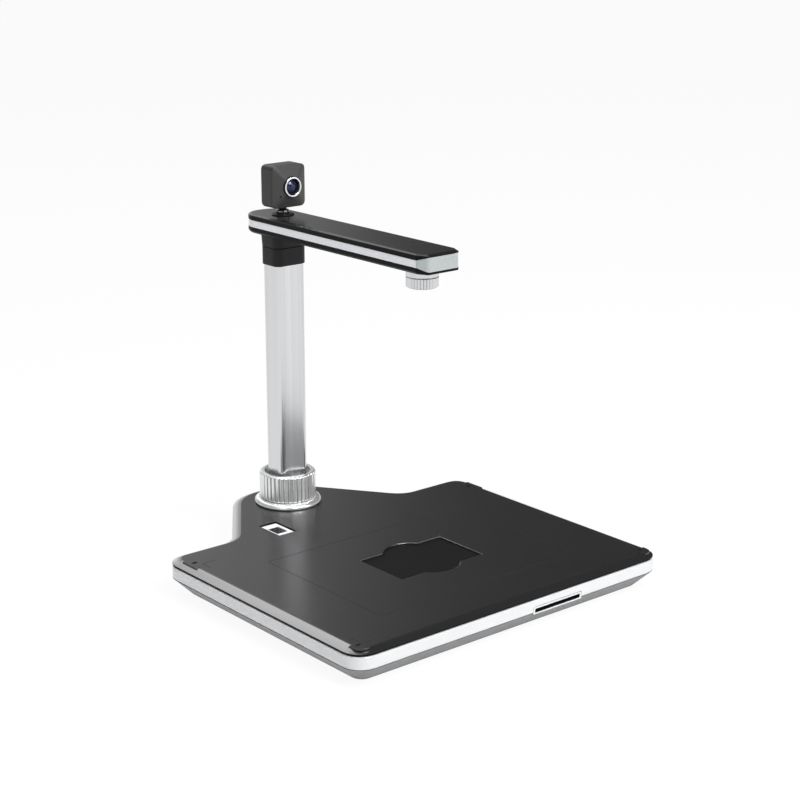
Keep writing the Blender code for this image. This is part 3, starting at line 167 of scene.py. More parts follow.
def stand_in(piece, body, slot, *nodes):
    """The piece rides on a body and stands for these frame nodes, which are hidden; the slot is not
    used.
    """
    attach(piece, body)
    if nodes:
        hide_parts(*nodes)


skirt_grey = finish(
    "skirt_grey", (0.170, 0.175, 0.18), (0.36, 0.42), relief=0.06, mirror=0.12)
tray = from_frame("bottom_cover", "tray")
soften(tray, TRAY_EDGE)
paint(tray, skirt_grey)
stand_in(tray, "base", "skirt_grey", "bottom_cover")

# ---------------------------------------------------------------- rubber feet
# Four soft rubber pads pressed into seats under the tray; each has a rounded rim and a shallow
# dish underneath, so that it grips the table.
FOOT_EDGE = 0.0005
FOOT_RIM = 0.0022
DISH_SLOPE, DISH_DEPTH = 0.0006, 0.0005
rubber = finish("rubber", (0.014, 0.014, 0.014), (0.62, 0.85), grain=1500, relief=0.4)


def edit_faces(piece, wanted):
    """Opens a piece in edit mode with only the faces selected that pass the test."""
    pick(piece)
    bpy.ops.object.mode_set(mode="EDIT")
    bpy.ops.mesh.select_mode(type="FACE")
    bpy.ops.mesh.select_all(action="DESELECT")
    bpy.ops.object.mode_set(mode="OBJECT")
    for face in piece.data.polygons:
        face.select = wanted(face)
    bpy.ops.object.mode_set(mode="EDIT")


def edit_edges(piece, wanted):
    """Opens a piece in edit mode with only the edges selected whose two ends pass the test."""
    pick(piece)
    bpy.ops.object.mode_set(mode="EDIT")
    bpy.ops.mesh.select_mode(type="EDGE")
    bpy.ops.mesh.select_all(action="DESELECT")
    bpy.ops.object.mode_set(mode="OBJECT")
    for edge in piece.data.edges:
        edge.select = wanted(*[piece.data.vertices[v].co for v in edge.vertices])
    bpy.ops.object.mode_set(mode="EDIT")


low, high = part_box("foot_1")
bpy.ops.object.select_all(action="DESELECT")
bpy.ops.mesh.primitive_cylinder_add(
    vertices=64, radius=(high.x - low.x) / 2, depth=high.z - low.z, location=(low + high) / 2)
foot = bpy.context.object
foot.name = "rubber_foot_1"
bpy.ops.object.transform_apply(location=True, rotation=True, scale=True)
edit_faces(foot, lambda face: face.normal.z < -0.9)
bpy.ops.mesh.inset(thickness=FOOT_RIM)
bpy.ops.mesh.inset(thickness=DISH_SLOPE, depth=-DISH_DEPTH)
bpy.ops.object.mode_set(mode="OBJECT")
soften(foot, FOOT_EDGE)
paint(foot, rubber)
stand_in(foot, "base", "rubber", "foot_1")


def copy_to(piece, name, old_node, new_node):
    """A copy of a piece with its own mesh, moved from one frame node's place to another's."""
    twin = bpy.data.objects.new(name, piece.data.copy())
    scene_pieces.link(twin)
    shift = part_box(new_node)[0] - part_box(old_node)[0]
    for vertex in twin.data.vertices:
        vertex.co += shift
    return twin


for number in range(2, 5):
    twin = copy_to(foot, f"rubber_foot_{number}", "foot_1", f"foot_{number}")
    stand_in(twin, "base", "rubber", f"foot_{number}")

# ---------------------------------------------------------------- inside the tray
# What sits in the closed base: a steel ballast plate, the main board, the card reader and the
# antenna under the recess. Nothing of it shows, so the frame's solids stay, in their finishes.
steel = finish(
    "steel", (0.45, 0.45, 0.46), (0.3, 0.45), grain=900, metal=1.0, stretch=(1, 30, 30))
solder_mask = finish("solder_mask", (0.02, 0.11, 0.05), (0.3, 0.5), grain=700, mottle=0.25)
matt_black = finish(
    "matt_black", (0.009, 0.009, 0.0095), (0.42, 0.50), relief=0.08, mirror=0.25)
inside = {
    "ballast_plate": steel,
    "main_board": solder_mask,
    "antenna_board": solder_mask,
    "fingerprint_sensor": solder_mask,
    "card_reader": matt_black,
}
for node, material in inside.items():
    paint(frame["nodes"][node], material)

# ---------------------------------------------------------------- data socket
# The data and power socket, soldered to the main board: a drawn steel shell in the base's rear
# wall with a black plastic tongue in it that carries the contacts.
SOCKET_EDGE = 0.0001
TONGUE_SIZE = (0.0066, 0.0060, 0.0007)
TONGUE_FORWARD = 0.0006
TONGUE_EDGE = 0.0002
socket_shell = from_frame("usb_socket", "data_socket")
soften(socket_shell, SOCKET_EDGE, 2)
paint(socket_shell, steel)
stand_in(socket_shell, "base", "steel", "usb_socket")
low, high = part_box("usb_socket")
middle = (low + high) / 2
bpy.ops.object.select_all(action="DESELECT")
bpy.ops.mesh.primitive_cube_add(
    size=1, location=(middle.x, middle.y - TONGUE_FORWARD, middle.z), scale=TONGUE_SIZE)
tongue = bpy.context.object
tongue.name = "data_socket_tongue"
bpy.ops.object.transform_apply(location=True, rotation=True, scale=True)
soften(tongue, TONGUE_EDGE, 2)
paint(tongue, matt_black)
stand_in(tongue, "base", "matt_black")

# ---------------------------------------------------------------- silver band
# A strip of silver-lacquered plastic that runs right round the base between the tray and the
# black shell; it drops over the tray's lip and leaves a dark seam under the shell.
BAND_EDGE = 0.0004
silver_lacquer = finish(
    "silver_lacquer", (0.60, 0.605, 0.615), (0.18, 0.22), grain=3200, relief=0.012, metal=0.25)
band = from_frame("side_band", "silver_band")
soften(band, BAND_EDGE)
paint(band, silver_lacquer)
stand_in(band, "base", "silver_band", "side_band")

# ---------------------------------------------------------------- card slot
# A silver pad let into the band at the front, with the long slit that a card is pushed into;
# the reader's black throat shows behind it, and the pad's own walls inside the slit are painted
# black as painted shade.
SLIT_Z = 0.01755
SLIT_HALF = (0.0252, 0.0018)
SLIT_GROW = 0.0003
PAD_EDGE = 0.00012
PAD_FACE = 0.00015
slot_pad = from_frame("slot_bezel", "card_slot_pad")
low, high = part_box("slot_bezel")
slit_x = (low.x + high.x) / 2


def in_slit(place):
    """Whether a place is within the slit, seen from the front."""
    return abs(place.x - slit_x) < SLIT_HALF[0] and abs(place.z - SLIT_Z) < SLIT_HALF[1]


for vertex in slot_pad.data.vertices:
    if in_slit(vertex.co):
        vertex.co.z += math.copysign(SLIT_GROW, vertex.co.z - SLIT_Z)
soften(slot_pad, PAD_EDGE, 2)
paint(slot_pad, silver_lacquer)
# The pad's own walls inside the slit are painted matt black: painted shade.
slot_pad.data.materials.append(matt_black)
for face in slot_pad.data.polygons:
    if in_slit(face.center) and face.center.y > low.y + PAD_FACE:
        face.material_index = 1
stand_in(slot_pad, "base", "silver_band", "slot_bezel")

# ---------------------------------------------------------------- black shell
# The panel that sheets and books lie on: one black moulding with a sloped edge, a neck for the
# column and a shallow card recess with two finger scallops. The panel is satin, its sloped edge
# and the recess's rim are glossy, and the recess's floor is matt. The same darker matt black is
# painted on the shell's lip down in the seam and on the walls of the reader's hole as painted
# shade.
Z_PANEL = 0.032
Z_RECESS = 0.0306
Y_SCAN = -0.05565
RECESS_HALF = (0.060, 0.045)
RECESS_EDGE = 0.0005
SHELL_EDGE = 0.0004
LIP_BELOW = 0.002
SLOPE_AREA = 0.00001
panel_black = finish(
    "panel_black", (0.012, 0.012, 0.013), (0.27, 0.29), grain=4200, relief=0.008, mottle=0.02,
    mirror=0.7)
edge_gloss = finish(
    "edge_gloss", (0.012, 0.012, 0.013), (0.20, 0.22), grain=4200, relief=0.0, mottle=0.02,
    mirror=1.0)
edge_shader = edge_gloss.node_tree.nodes["Principled BSDF"]
edge_shader.inputs["Coat Weight"].default_value = 1.0
edge_shader.inputs["Coat Roughness"].default_value = 0.15
edge_shader.inputs["Coat IOR"].default_value = 1.9
recess_matt_and_painted_shade = finish(
    "recess_matt_and_painted_shade", (0.005, 0.005, 0.0055), (0.50, 0.56), grain=4200, mottle=0.02, mirror=0.1)
shell = from_frame("top_shell", "black_shell")


def by_recess(place):
    """Whether a place is in the card recess or right beside it, seen from above."""
    return abs(place.x) < RECESS_HALF[0] and abs(place.y - Y_SCAN) < RECESS_HALF[1]


edit_edges(shell, lambda a, b: all(
    abs(end.z - Z_PANEL) < MERGE and by_recess(end) for end in (a, b)))
bpy.ops.mesh.bevel(offset=RECESS_EDGE, segments=3, affect="EDGES")
bpy.ops.object.mode_set(mode="OBJECT")
soften(shell, SHELL_EDGE)
paint(shell, panel_black)
shell.data.materials.append(recess_matt_and_painted_shade)
shell.data.materials.append(edge_gloss)
finger_low, finger_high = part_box("fingerprint_bezel")
for face in shell.data.polygons:
    x, y, z = face.center
    upwards = face.normal.z
    in_finger_hole = finger_low.x < x < finger_high.x and finger_low.y < y < finger_high.y
    on_recess_floor = upwards > 0.99 and abs(z - Z_RECESS) < 0.0002
    on_lip = abs(upwards) < 0.3 and z < Z_RECESS - LIP_BELOW
    on_slope = 0.80 < upwards < 0.97 and face.area > SLOPE_AREA
    on_recess_rim = 0.05 < upwards < 0.97 and by_recess(face.center) and z > Z_RECESS
    # The recess floor is matt black; the lip in the seam and the walls of the reader's hole get the
    # same black as painted shade.
    if on_recess_floor or on_lip or in_finger_hole and upwards < 0.6:
        face.material_index = 1
    elif on_slope or on_recess_rim:
        face.material_index = 2
stand_in(shell, "base", "panel_black", "top_shell")

# ---------------------------------------------------------------- sheet marks
# Thin lines of matt ink that show where sheets go: a frame for an A5 sheet and corner marks for
# an A4 sheet. They are screen-printed on the panel.
INK = 0.00004
LINE = 0.0007
SHEET = (0.2100, 0.1480)
SHEET_CORNER = 0.003
MARK_LEG = 0.013
MARK_X, MARK_Y = 0.1485, 0.1050
ink_matt = finish("ink_matt", (0.006, 0.006, 0.007), (0.55, 0.65), grain=3000)


def thicken(piece, height):
    """Gives a flat outline a thickness upwards."""
    pick(piece)
    wall = piece.modifiers.new("wall", "SOLIDIFY")
    wall.thickness = height
    wall.offset = 1.0
    bpy.ops.object.modifier_apply(modifier="wall")


bpy.ops.object.select_all(action="DESELECT")
bpy.ops.mesh.primitive_plane_add(size=1, location=(0, Y_SCAN, Z_PANEL))
sheet_frame = bpy.context.object
sheet_frame.name = "sheet_frame_print"
sheet_frame.scale = (*SHEET, 1)
bpy.ops.object.transform_apply(location=True, rotation=True, scale=True)
bpy.ops.object.mode_set(mode="EDIT")
bpy.ops.mesh.select_all(action="SELECT")
bpy.ops.mesh.bevel(offset=SHEET_CORNER, segments=6, affect="VERTICES")
bpy.ops.mesh.select_all(action="SELECT")
bpy.ops.mesh.inset(thickness=LINE)
bpy.ops.mesh.delete(type="FACE")
bpy.ops.object.mode_set(mode="OBJECT")
thicken(sheet_frame, INK)
paint(sheet_frame, ink_matt)
stand_in(sheet_frame, "base", "matt_black")

bpy.ops.object.select_all(action="DESELECT")
bpy.ops.mesh.primitive_plane_add(size=LINE, location=(-MARK_X, Y_SCAN - MARK_Y, Z_PANEL))
mark = bpy.context.object
mark.name = "sheet_mark_1"
bpy.ops.object.transform_apply(location=True, rotation=True, scale=True)
edit_edges(mark, lambda a, b: min(a.x, b.x) > -MARK_X)
bpy.ops.mesh.extrude_region_move(TRANSFORM_OT_translate={"value": (MARK_LEG - LINE, 0, 0)})
bpy.ops.object.mode_set(mode="OBJECT")
edit_edges(mark, lambda a, b: min(a.y, b.y) > Y_SCAN - MARK_Y and max(a.x, b.x) < -MARK_X + LINE)
bpy.ops.mesh.extrude_region_move(TRANSFORM_OT_translate={"value": (0, MARK_LEG - LINE, 0)})
bpy.ops.mesh.select_all(action="SELECT")
bpy.ops.mesh.normals_make_consistent(inside=False)
bpy.ops.object.mode_set(mode="OBJECT")
for number, (side, end) in enumerate(((1, -1), (1, 1), (-1, 1)), 2):
    twin = bpy.data.objects.new(f"sheet_mark_{number}", mark.data.copy())
    scene_pieces.link(twin)
    for vertex in twin.data.vertices:
        vertex.co.x *= -side
        vertex.co.y = Y_SCAN - end * (vertex.co.y - Y_SCAN)
    if side != end:
        pick(twin)
        bpy.ops.object.mode_set(mode="EDIT")
        bpy.ops.mesh.select_all(action="SELECT")
        bpy.ops.mesh.flip_normals()
        bpy.ops.object.mode_set(mode="OBJECT")
for number in range(1, 5):
    mark = bpy.data.objects[f"sheet_mark_{number}"]
    thicken(mark, INK)
    paint(mark, ink_matt)
    stand_in(mark, "base", "matt_black")

# ---------------------------------------------------------------- corner stops
# Four black plastic angles let into the panel's corners, a little proud of it; a small notch
# beside each takes the corner of a sheet, so that it doesn't slide.
STOP_EDGE = 0.00025
for number in range(1, 5):
    stop = from_frame(f"corner_stop_{number}", f"paper_stop_{number}")
    soften(stop, STOP_EDGE)
    paint(stop, panel_black)
    stand_in(stop, "base", "matt_black", f"corner_stop_{number}")

# ---------------------------------------------------------------- fingerprint reader
# A white plastic frame let into the neck from below, with the reader's dark polished glass at the
# bottom of it; the sensor is behind the glass.
FINGER_FRAME_EDGE = 0.0003
FINGER_GLASS_EDGE = 0.0002
white_plastic = finish("white_plastic", (0.82, 0.82, 0.815), (0.32, 0.42))
dark_glass = finish(
    "dark_glass", (0.008, 0.009, 0.014), (0.03, 0.07), grain=60, relief=0.0, mirror=0.15)
finger_frame = from_frame("fingerprint_bezel", "finger_frame")
soften(finger_frame, FINGER_FRAME_EDGE)
paint(finger_frame, white_plastic)
stand_in(finger_frame, "base", "white_plastic", "fingerprint_bezel")
finger_glass = from_frame("fingerprint_window", "finger_glass")
soften(finger_glass, FINGER_GLASS_EDGE)
paint(finger_glass, dark_glass)
stand_in(finger_glass, "base", "dark_glass", "fingerprint_window")

# ---------------------------------------------------------------- screws
# Small steel pan-head screws with a cross recess; four hold the tray under the shell and four
# hold the arm's lower cover. One is cut and the other seven are its copies.
SCREW_BAR = (0.0032, 0.0007, 0.0014)
SCREW_EDGE = 0.00015
low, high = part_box("cover_screw_1")
middle = (low + high) / 2
bpy.ops.object.select_all(action="DESELECT")
bpy.ops.mesh.primitive_cube_add(size=1, location=(middle.x, middle.y, low.z), scale=SCREW_BAR)
cross = bpy.context.object
bpy.ops.object.transform_apply(location=True, rotation=True, scale=True)
bpy.ops.object.mode_set(mode="EDIT")
bpy.ops.mesh.duplicate()
bpy.ops.transform.rotate(
    value=math.pi / 2, orient_axis="Z", center_override=(middle.x, middle.y, low.z))
bpy.ops.object.mode_set(mode="OBJECT")
screw = from_frame("cover_screw_1", "tray_screw_1")
pick(screw)
recess = screw.modifiers.new("recess", "BOOLEAN")
recess.object = cross
recess.use_self = True
bpy.ops.object.modifier_apply(modifier="recess")
bpy.data.objects.remove(cross)
soften(screw, SCREW_EDGE, 2)
paint(screw, steel)
stand_in(screw, "base", "steel", "cover_screw_1")
for number in range(2, 5):
    twin = copy_to(screw, f"tray_screw_{number}", "cover_screw_1", f"cover_screw_{number}")
    stand_in(twin, "base", "steel", f"cover_screw_{number}")
for number in range(1, 5):
    twin = copy_to(screw, f"arm_screw_{number}", "cover_screw_1", f"arm_screw_{number}")
    stand_in(twin, "arm", "steel", f"arm_screw_{number}")

# ---------------------------------------------------------------- column
# A rounded rectangular tube of satin anodised aluminium. Its foot goes through a turned and
# polished flange into a casting in the base; the camera's cable runs up inside it.
COLUMN_R = 0.006
COLUMN_EDGE = 0.0003
FLANGE_EDGE = 0.0011
anodised = finish(
    "anodised", (0.66, 0.665, 0.675), (0.20, 0.23), grain=2600, relief=0.010, metal=1.0,
    mottle=0.16, stretch=(1, 1, 0.004), cloud=190.0)
low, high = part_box("column_tube")
middle = (low + high) / 2
bpy.ops.object.select_all(action="DESELECT")
bpy.ops.mesh.primitive_cube_add(size=1, location=middle, scale=high - low)
column = bpy.context.object
column.name = "column"
bpy.ops.object.transform_apply(location=True, rotation=True, scale=True)
edit_edges(column, lambda a, b: abs(a.z - b.z) > 0.1)
bpy.ops.mesh.bevel(offset=COLUMN_R, segments=14, affect="EDGES")
bpy.ops.object.mode_set(mode="OBJECT")
soften(column, COLUMN_EDGE, 2)
paint(column, anodised)
stand_in(column, "base", "column_aluminium", "column_tube")
paint(frame["nodes"]["column_socket"], anodised)
paint(frame["nodes"]["column_plug"], matt_black)
paint(frame["nodes"]["camera_cable"], rubber)

turned = finish(
    "turned", (0.82, 0.825, 0.83), (0.24, 0.28), grain=800, relief=0.0, metal=0.75, mottle=0.02)
flange = from_frame("column_flange", "flange")
soften(flange, FLANGE_EDGE, 4)
paint(flange, turned)
stand_in(flange, "base", "polished", "column_flange")

# ---------------------------------------------------------------- lock ring
# A turned and polished metal ring on the flange, with grooves milled all round for the grip;
# turning it clamps the column. The bottoms of the grooves are rougher and painted darker: painted
# shade.
RING_EDGE = 0.00035
RING_GROOVE = 0.0012
ring = from_frame("lock_ring", "grip_ring")
soften(ring, RING_EDGE)
dull_groove_shade = finish(
    "dull_groove_shade", (0.15, 0.15, 0.155), (0.35, 0.42), grain=800, relief=0.0, metal=0.75, mottle=0.05)
paint(ring, turned)


def paint_shade_between_ribs(piece, node, depth):
    """Paints the bottoms of a ring's grip grooves rougher and darker as painted shade, down to a
    depth below its rim.
    """
    low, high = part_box(node)
    middle = (low + high) / 2
    rim = (high.x - low.x) / 2
    piece.data.materials.append(dull_groove_shade)
    for face in piece.data.polygons:
        from_axis = math.hypot(face.center.x - middle.x, face.center.y - middle.y)
        if abs(face.normal.z) < 0.3 and rim - depth < from_axis < rim - depth / 2:
            face.material_index = 1


paint_shade_between_ribs(ring, "lock_ring", RING_GROOVE)
stand_in(ring, "lock_ring", "polished", "lock_ring")

# ---------------------------------------------------------------- swivel
# A black moulded collar closes the column and a second one hangs under the arm. A washer between
# them, a hollow steel shaft and its nut let the arm turn on the column.
COLLAR_EDGE = 0.0004
collar = from_frame("column_collar", "lower_collar")
soften(collar, COLLAR_EDGE)
paint(collar, matt_black)
stand_in(collar, "base", "matt_black", "column_collar")
paint(frame["nodes"]["friction_washer"], white_plastic)
for node in ("swivel_shaft", "swivel_nut"):
    paint(frame["nodes"][node], steel)
upper_collar = from_frame("arm_collar", "upper_collar")
soften(upper_collar, COLLAR_EDGE)
paint(upper_collar, matt_black)
stand_in(upper_collar, "arm", "matt_black", "arm_collar")

# ---------------------------------------------------------------- arm
# Two black mouldings with a silver strip between them and a flared silver cap at the front;
# the upper one has a crowned edge all round and is glossy on top. Screws from below hold them.
LOWER_COVER_EDGE = 0.0003
UPPER_COVER_EDGE = 0.0004
STRIP_EDGE = 0.0002
CAP_EDGE = 0.00025
arm_gloss = finish(
    "arm_gloss", (0.010, 0.010, 0.0105), (0.24, 0.27), grain=3600, relief=0.010, mottle=0.02,
    mirror=0.4)
arm_matt_and_wall_shade = finish(
    "arm_matt_and_wall_shade", (0.005, 0.005, 0.0055), (0.34, 0.40), grain=3600, relief=0.04, mirror=0.08)
lower_cover = from_frame("arm_bottom_cover", "arm_lower_cover")
soften(lower_cover, LOWER_COVER_EDGE)
paint(lower_cover, arm_matt_and_wall_shade)
stand_in(lower_cover, "arm", "matt_black", "arm_bottom_cover")
upper_cover = from_frame("arm_top_cover", "arm_upper_cover")
soften(upper_cover, UPPER_COVER_EDGE)
paint(upper_cover, arm_gloss)
# The upper cover's side walls take the lower cover's darker, duller black as painted shade.
upper_cover.data.materials.append(arm_matt_and_wall_shade)
for face in upper_cover.data.polygons:
    if abs(face.normal.z) < 0.5:
        face.material_index = 1
stand_in(upper_cover, "arm", "panel_black", "arm_top_cover")
arm_silver = finish(
    "arm_silver", (0.76, 0.77, 0.80), (0.22, 0.26), grain=3200, relief=0.015, metal=0.3)
strip = from_frame("arm_band", "arm_strip")
soften(strip, STRIP_EDGE)
paint(strip, arm_silver)
stand_in(strip, "arm", "silver_band", "arm_band")
cap = from_frame("arm_end_cap", "arm_front_cap")
soften(cap, CAP_EDGE)
cap_silver = finish(
    "cap_silver", (0.40, 0.43, 0.43), (0.20, 0.24), grain=3200, relief=0.015, metal=0.6)
paint(cap, cap_silver)
stand_in(cap, "arm", "silver_band", "arm_end_cap")
paint(frame["nodes"]["camera_board"], solder_mask)
frosted = finish("frosted", (0.80, 0.80, 0.78), (0.45, 0.6), grain=2000, relief=0.1)
paint(frame["nodes"]["lamp_window"], frosted)

# ---------------------------------------------------------------- main lens
# A black barrel with its glass under the front of the arm, a fixed aluminium collar round it and
# the ribbed aluminium ring below, which turns to focus.
BARREL_EDGE = 0.0002
LENS_COLLAR_EDGE = 0.0003
FOCUS_EDGE = 0.00015
FOCUS_GROOVE = 0.0009
barrel = from_frame("lens_barrel", "barrel")
soften(barrel, BARREL_EDGE)
paint(barrel, matt_black)
stand_in(barrel, "arm", "matt_black", "lens_barrel")
paint(frame["nodes"]["lens_glass"], dark_glass)
lens_collar = from_frame("lens_collar", "fixed_collar")
soften(lens_collar, LENS_COLLAR_EDGE)
paint(lens_collar, anodised)
stand_in(lens_collar, "arm", "column_aluminium", "lens_collar")
focus = from_frame("focus_ring", "focus_grip")
soften(focus, FOCUS_EDGE, 2)
paint(focus, anodised)
# The bottoms of the focus ring's grooves are rougher and painted darker: painted shade.
paint_shade_between_ribs(focus, "focus_ring", FOCUS_GROOVE)
stand_in(focus, "focus_ring", "column_aluminium", "focus_ring")

# ---------------------------------------------------------------- second camera
# A small grey box on a ball: two plastic shells, a bright lens ring and a coated lens; the ball
# sits in a dark chromed ring that turns on a black foot.
CAM_FOOT_EDGE = 0.0003
BALL_EDGE = 0.0002
CAM_EDGE = 0.0006
LENS_RING_FACE = 0.0013
LENS_RING_SLOPE, LENS_RING_DEPTH = 0.0012, 0.0016
LENS_CUP = 0.0032
LENS_RING_EDGE = 0.00025
BRIGHT_DEPTH, BRIGHT_WIDTH = 0.0005, 0.0015
DOME_R = 0.0080
camera_grey = finish(
    "camera_grey", (0.037, 0.037, 0.038), (0.38, 0.46), grain=3000, relief=0.08, mirror=0.25)
cam_foot = from_frame("cam_foot", "camera_foot")
soften(cam_foot, CAM_FOOT_EDGE)
paint(cam_foot, matt_black)
stand_in(cam_foot, "arm", "matt_black", "cam_foot")
socket_ring = from_frame("cam_socket_ring", "ball_ring")
soften(socket_ring, BALL_EDGE)
smoked = finish(
    "smoked_chrome", (0.22, 0.22, 0.225), (0.14, 0.18), grain=800, relief=0.0, metal=1.0,
    mottle=0.03)
paint(socket_ring, smoked)
stand_in(socket_ring, "cam_pan", "polished", "cam_socket_ring")
stem = from_frame("cam_stem", "ball_stem")
soften(stem, BALL_EDGE)
paint(stem, matt_black)
stand_in(stem, "cam_tilt", "matt_black", "cam_stem")
rear_shell = from_frame("cam_rear_shell", "camera_back")
soften(rear_shell, CAM_EDGE)
paint(rear_shell, camera_grey)
stand_in(rear_shell, "cam_tilt", "camera_grey", "cam_rear_shell")
front_shell = from_frame("cam_front_shell", "camera_front")
soften(front_shell, CAM_EDGE)
paint(front_shell, camera_grey)
stand_in(front_shell, "cam_tilt", "camera_grey", "cam_front_shell")
low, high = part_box("cam_lens_ring")
middle = (low + high) / 2
bpy.ops.object.select_all(action="DESELECT")
bpy.ops.mesh.primitive_cylinder_add(
    vertices=96, radius=(high.x - low.x) / 2, depth=high.y - low.y, location=middle,
    rotation=(math.pi / 2, 0, 0))
lens_ring = bpy.context.object
lens_ring.name = "camera_lens_ring"
bpy.ops.object.transform_apply(location=True, rotation=True, scale=True)
edit_faces(lens_ring, lambda face: face.normal.y < -0.9)
bpy.ops.mesh.inset(thickness=LENS_RING_FACE)
bpy.ops.mesh.inset(thickness=LENS_RING_SLOPE, depth=-LENS_RING_DEPTH)
bpy.ops.mesh.extrude_region_move(TRANSFORM_OT_translate={"value": (0, LENS_CUP, 0)})
bpy.ops.object.mode_set(mode="OBJECT")
soften(lens_ring, LENS_RING_EDGE)
polished = finish(
    "polished", (0.80, 0.805, 0.81), (0.13, 0.16), grain=800, relief=0.0, metal=1.0, mottle=0.02)
paint(lens_ring, polished)
# Behind its bright front, the lens ring's outer wall and its cup are painted black; on the outer
# wall the black is partly painted shade beside the proud ring.
lens_ring.data.materials.append(matt_black)
for face in lens_ring.data.polygons:
    away = (face.center - Vector((middle.x, face.center.y, middle.z))).length
    if face.center.y > low.y + BRIGHT_DEPTH or away < (high.x - low.x) / 2 - BRIGHT_WIDTH:
        face.material_index = 1
stand_in(lens_ring, "cam_tilt", "polished", "cam_lens_ring")

coated = finish(
    "coated_glass", (0.004, 0.005, 0.020), (0.02, 0.03), grain=60, relief=0.0, mottle=0.2)
nodes, links = coated.node_tree.nodes, coated.node_tree.links
low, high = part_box("cam_lens")
rim_r = (high.x - low.x) / 2
middle = (low + high) / 2
# The glass's colour is painted from near black at the centre to deep blue at the rim: a painted
# sheen of its coating.
place = nodes.new("ShaderNodeTexCoord")
from_axis = nodes.new("ShaderNodeMapping")
from_axis.inputs["Location"].default_value = (-middle.x, 0, -middle.z)
from_axis.inputs["Scale"].default_value = (1, 0, 1)
links.new(place.outputs["Object"], from_axis.inputs["Vector"])
radius = nodes.new("ShaderNodeVectorMath")
radius.operation = "LENGTH"
links.new(from_axis.outputs["Vector"], radius.inputs[0])
outwards = nodes.new("ShaderNodeMapRange")
outwards.inputs["From Min"].default_value = rim_r * 0.35
outwards.inputs["From Max"].default_value = rim_r
links.new(radius.outputs["Value"], outwards.inputs["Value"])
painted_coating_sheen = nodes.new("ShaderNodeMix")
painted_coating_sheen.data_type = "RGBA"
painted_coating_sheen.inputs["A"].default_value = (0.004, 0.005, 0.016, 1)
painted_coating_sheen.inputs["B"].default_value = (0.016, 0.024, 0.110, 1)
links.new(outwards.outputs["Result"], painted_coating_sheen.inputs["Factor"])
links.new(painted_coating_sheen.outputs["Result"], nodes["Principled BSDF"].inputs["Base Color"])
dome_y = low.y + DOME_R
bpy.ops.object.select_all(action="DESELECT")
bpy.ops.mesh.primitive_uv_sphere_add(
    segments=96, ring_count=64, radius=DOME_R, location=(middle.x, dome_y, middle.z),
    rotation=(math.pi / 2, 0, 0))
lens = bpy.context.object
lens.name = "camera_lens"
bpy.ops.object.transform_apply(location=True, rotation=True, scale=True)
bpy.ops.object.mode_set(mode="EDIT")
bpy.ops.mesh.select_all(action="SELECT")
rim_y = dome_y - math.sqrt(DOME_R ** 2 - rim_r ** 2)
bpy.ops.mesh.bisect(
    plane_co=(middle.x, rim_y, middle.z), plane_no=(0, 1, 0), clear_outer=True, use_fill=True)
bpy.ops.object.mode_set(mode="OBJECT")
pick(lens)
bpy.ops.object.shade_smooth_by_angle(angle=math.radians(35))
paint(lens, coated)
stand_in(lens, "cam_tilt", "dark_glass", "cam_lens")
paint(frame["nodes"]["cam_sensor_board"], solder_mask)

# ---------------------------------------------------------------- studio
# A pale seamless floor with a low wall round it, soft lamps and the camera; none of it belongs to
# the scanner. The floor looks nearly white and keeps the scanner's shadow.
FLOOR_R = 14
WALL_HEIGHT = 1.2
FLOOR_WHITE = 0.93
scene = bpy.context.scene
scene.view_settings.view_transform = "Standard"
bpy.ops.object.select_all(action="DESELECT")
bpy.ops.mesh.primitive_circle_add(vertices=96, radius=FLOOR_R, fill_type="NGON", location=(0, 0, 0))
floor = bpy.context.object
floor.name = "floor"
edit_edges(floor, lambda a, b: True)
bpy.ops.mesh.extrude_edges_move(TRANSFORM_OT_translate={"value": (0, 0, WALL_HEIGHT)})
bpy.ops.object.mode_set(mode="OBJECT")
pale = bpy.data.materials.new("pale_floor")
pale.use_nodes = True
nodes, links = pale.node_tree.nodes, pale.node_tree.links
nodes.remove(nodes["Principled BSDF"])
matt = nodes.new("ShaderNodeBsdfDiffuse")
matt.inputs["Color"].default_value = (0.85, 0.85, 0.85, 1)
white = nodes.new("ShaderNodeEmission")
path = nodes.new("ShaderNodeLightPath")
first = nodes.new("ShaderNodeMath")
first.operation = "MAXIMUM"
links.new(path.outputs["Is Camera Ray"], first.inputs[0])
links.new(path.outputs["Is Glossy Ray"], first.inputs[1])
seen = nodes.new("ShaderNodeMath")
seen.operation = "MAXIMUM"
links.new(first.outputs[0], seen.inputs[0])
links.new(path.outputs["Is Transmission Ray"], seen.inputs[1])
share = nodes.new("ShaderNodeMath")
share.operation = "MULTIPLY"
share.inputs[1].default_value = FLOOR_WHITE
links.new(seen.outputs[0], share.inputs[0])
mixed = nodes.new("ShaderNodeMixShader")
links.new(share.outputs[0], mixed.inputs["Fac"])
links.new(matt.outputs[0], mixed.inputs[1])
links.new(white.outputs[0], mixed.inputs[2])
links.new(mixed.outputs[0], nodes["Material Output"].inputs["Surface"])
paint(floor, pale)

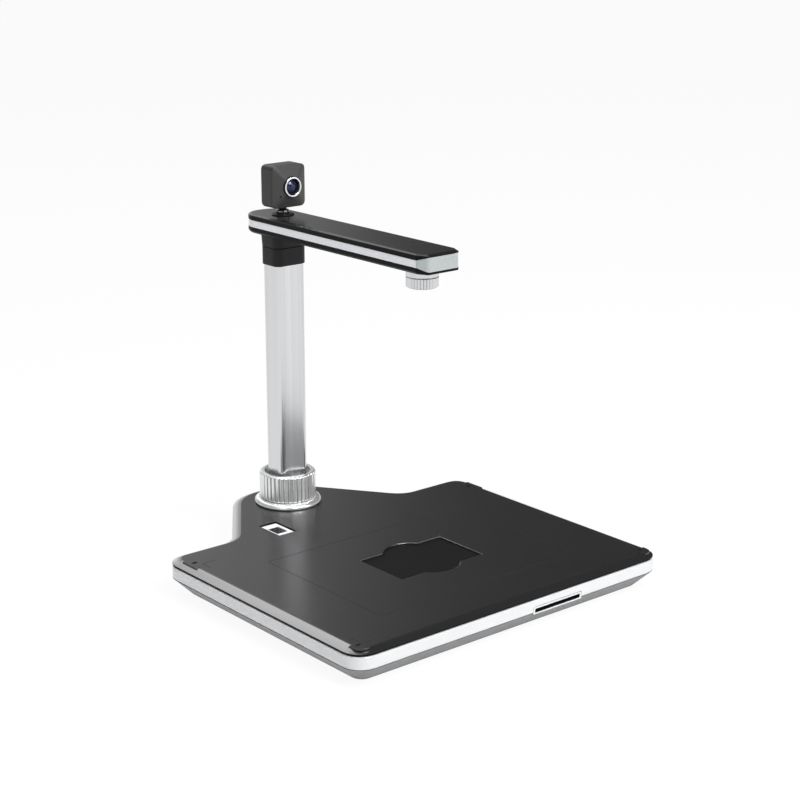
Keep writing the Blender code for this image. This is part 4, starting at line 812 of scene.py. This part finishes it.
world = bpy.data.worlds.new("studio")
scene.world = world
world.use_nodes = True
nodes, links = world.node_tree.nodes, world.node_tree.links
background = nodes["Background"]
way = nodes.new("ShaderNodeTexCoord")
along = nodes.new("ShaderNodeVectorMath")
along.operation = "DOT_PRODUCT"
along.inputs[1].default_value = (-0.80, 0.60, 0.0)
links.new(way.outputs["Generated"], along.inputs[0])
spread = nodes.new("ShaderNodeMapRange")
spread.inputs["From Min"].default_value = -1.0
links.new(along.outputs["Value"], spread.inputs["Value"])
ramp = nodes.new("ShaderNodeValToRGB")
ramp.color_ramp.interpolation = "EASE"
sky = ((0.46, 0.04), (0.54, 0.74), (0.62, 1.50), (0.82, 0.30))
for _ in sky[2:]:
    ramp.color_ramp.elements.new(0.5)
for stop, (where, strength) in zip(ramp.color_ramp.elements, sky):
    stop.position = where
    stop.color = (strength, strength, strength, 1)
links.new(spread.outputs["Result"], ramp.inputs["Fac"])
links.new(ramp.outputs["Color"], background.inputs["Color"])


def softbox(name, place, target, width, height, power):
    """A soft rectangular lamp at a place, turned to a point."""
    lamp = bpy.data.lights.new(name, "AREA")
    lamp.shape = "RECTANGLE"
    lamp.size = width
    lamp.size_y = height
    lamp.energy = power
    holder = bpy.data.objects.new(name, lamp)
    scene.collection.objects.link(holder)
    holder.location = place
    towards = Vector(target) - Vector(place)
    holder.rotation_euler = towards.to_track_quat("-Z", "Y").to_euler()


softbox("key", (0.15, -1.48, 1.62), (0, 0, 0.1), 1.2, 1.2, 58)
softbox("fill", (1.05, -1.45, 0.70), (0, 0, 0.1), 0.9, 0.9, 5)
softbox("top", (-0.1, 0.1, 2.2), (0, 0, 0), 1.0, 1.0, 11)
softbox("back", (0.20, 1.45, 1.65), (0, 0, 0.03), 1.1, 0.9, 2)

lens_data = bpy.data.cameras.new("camera")
lens_data.lens = 82.3
lens_data.sensor_width = 36.0
camera = bpy.data.objects.new("camera", lens_data)
scene.collection.objects.link(camera)
camera.location = (-0.9312, -1.1393, 0.5872)
camera.rotation_euler = (math.radians(73.675), 0, math.radians(-39.96))
scene.camera = camera
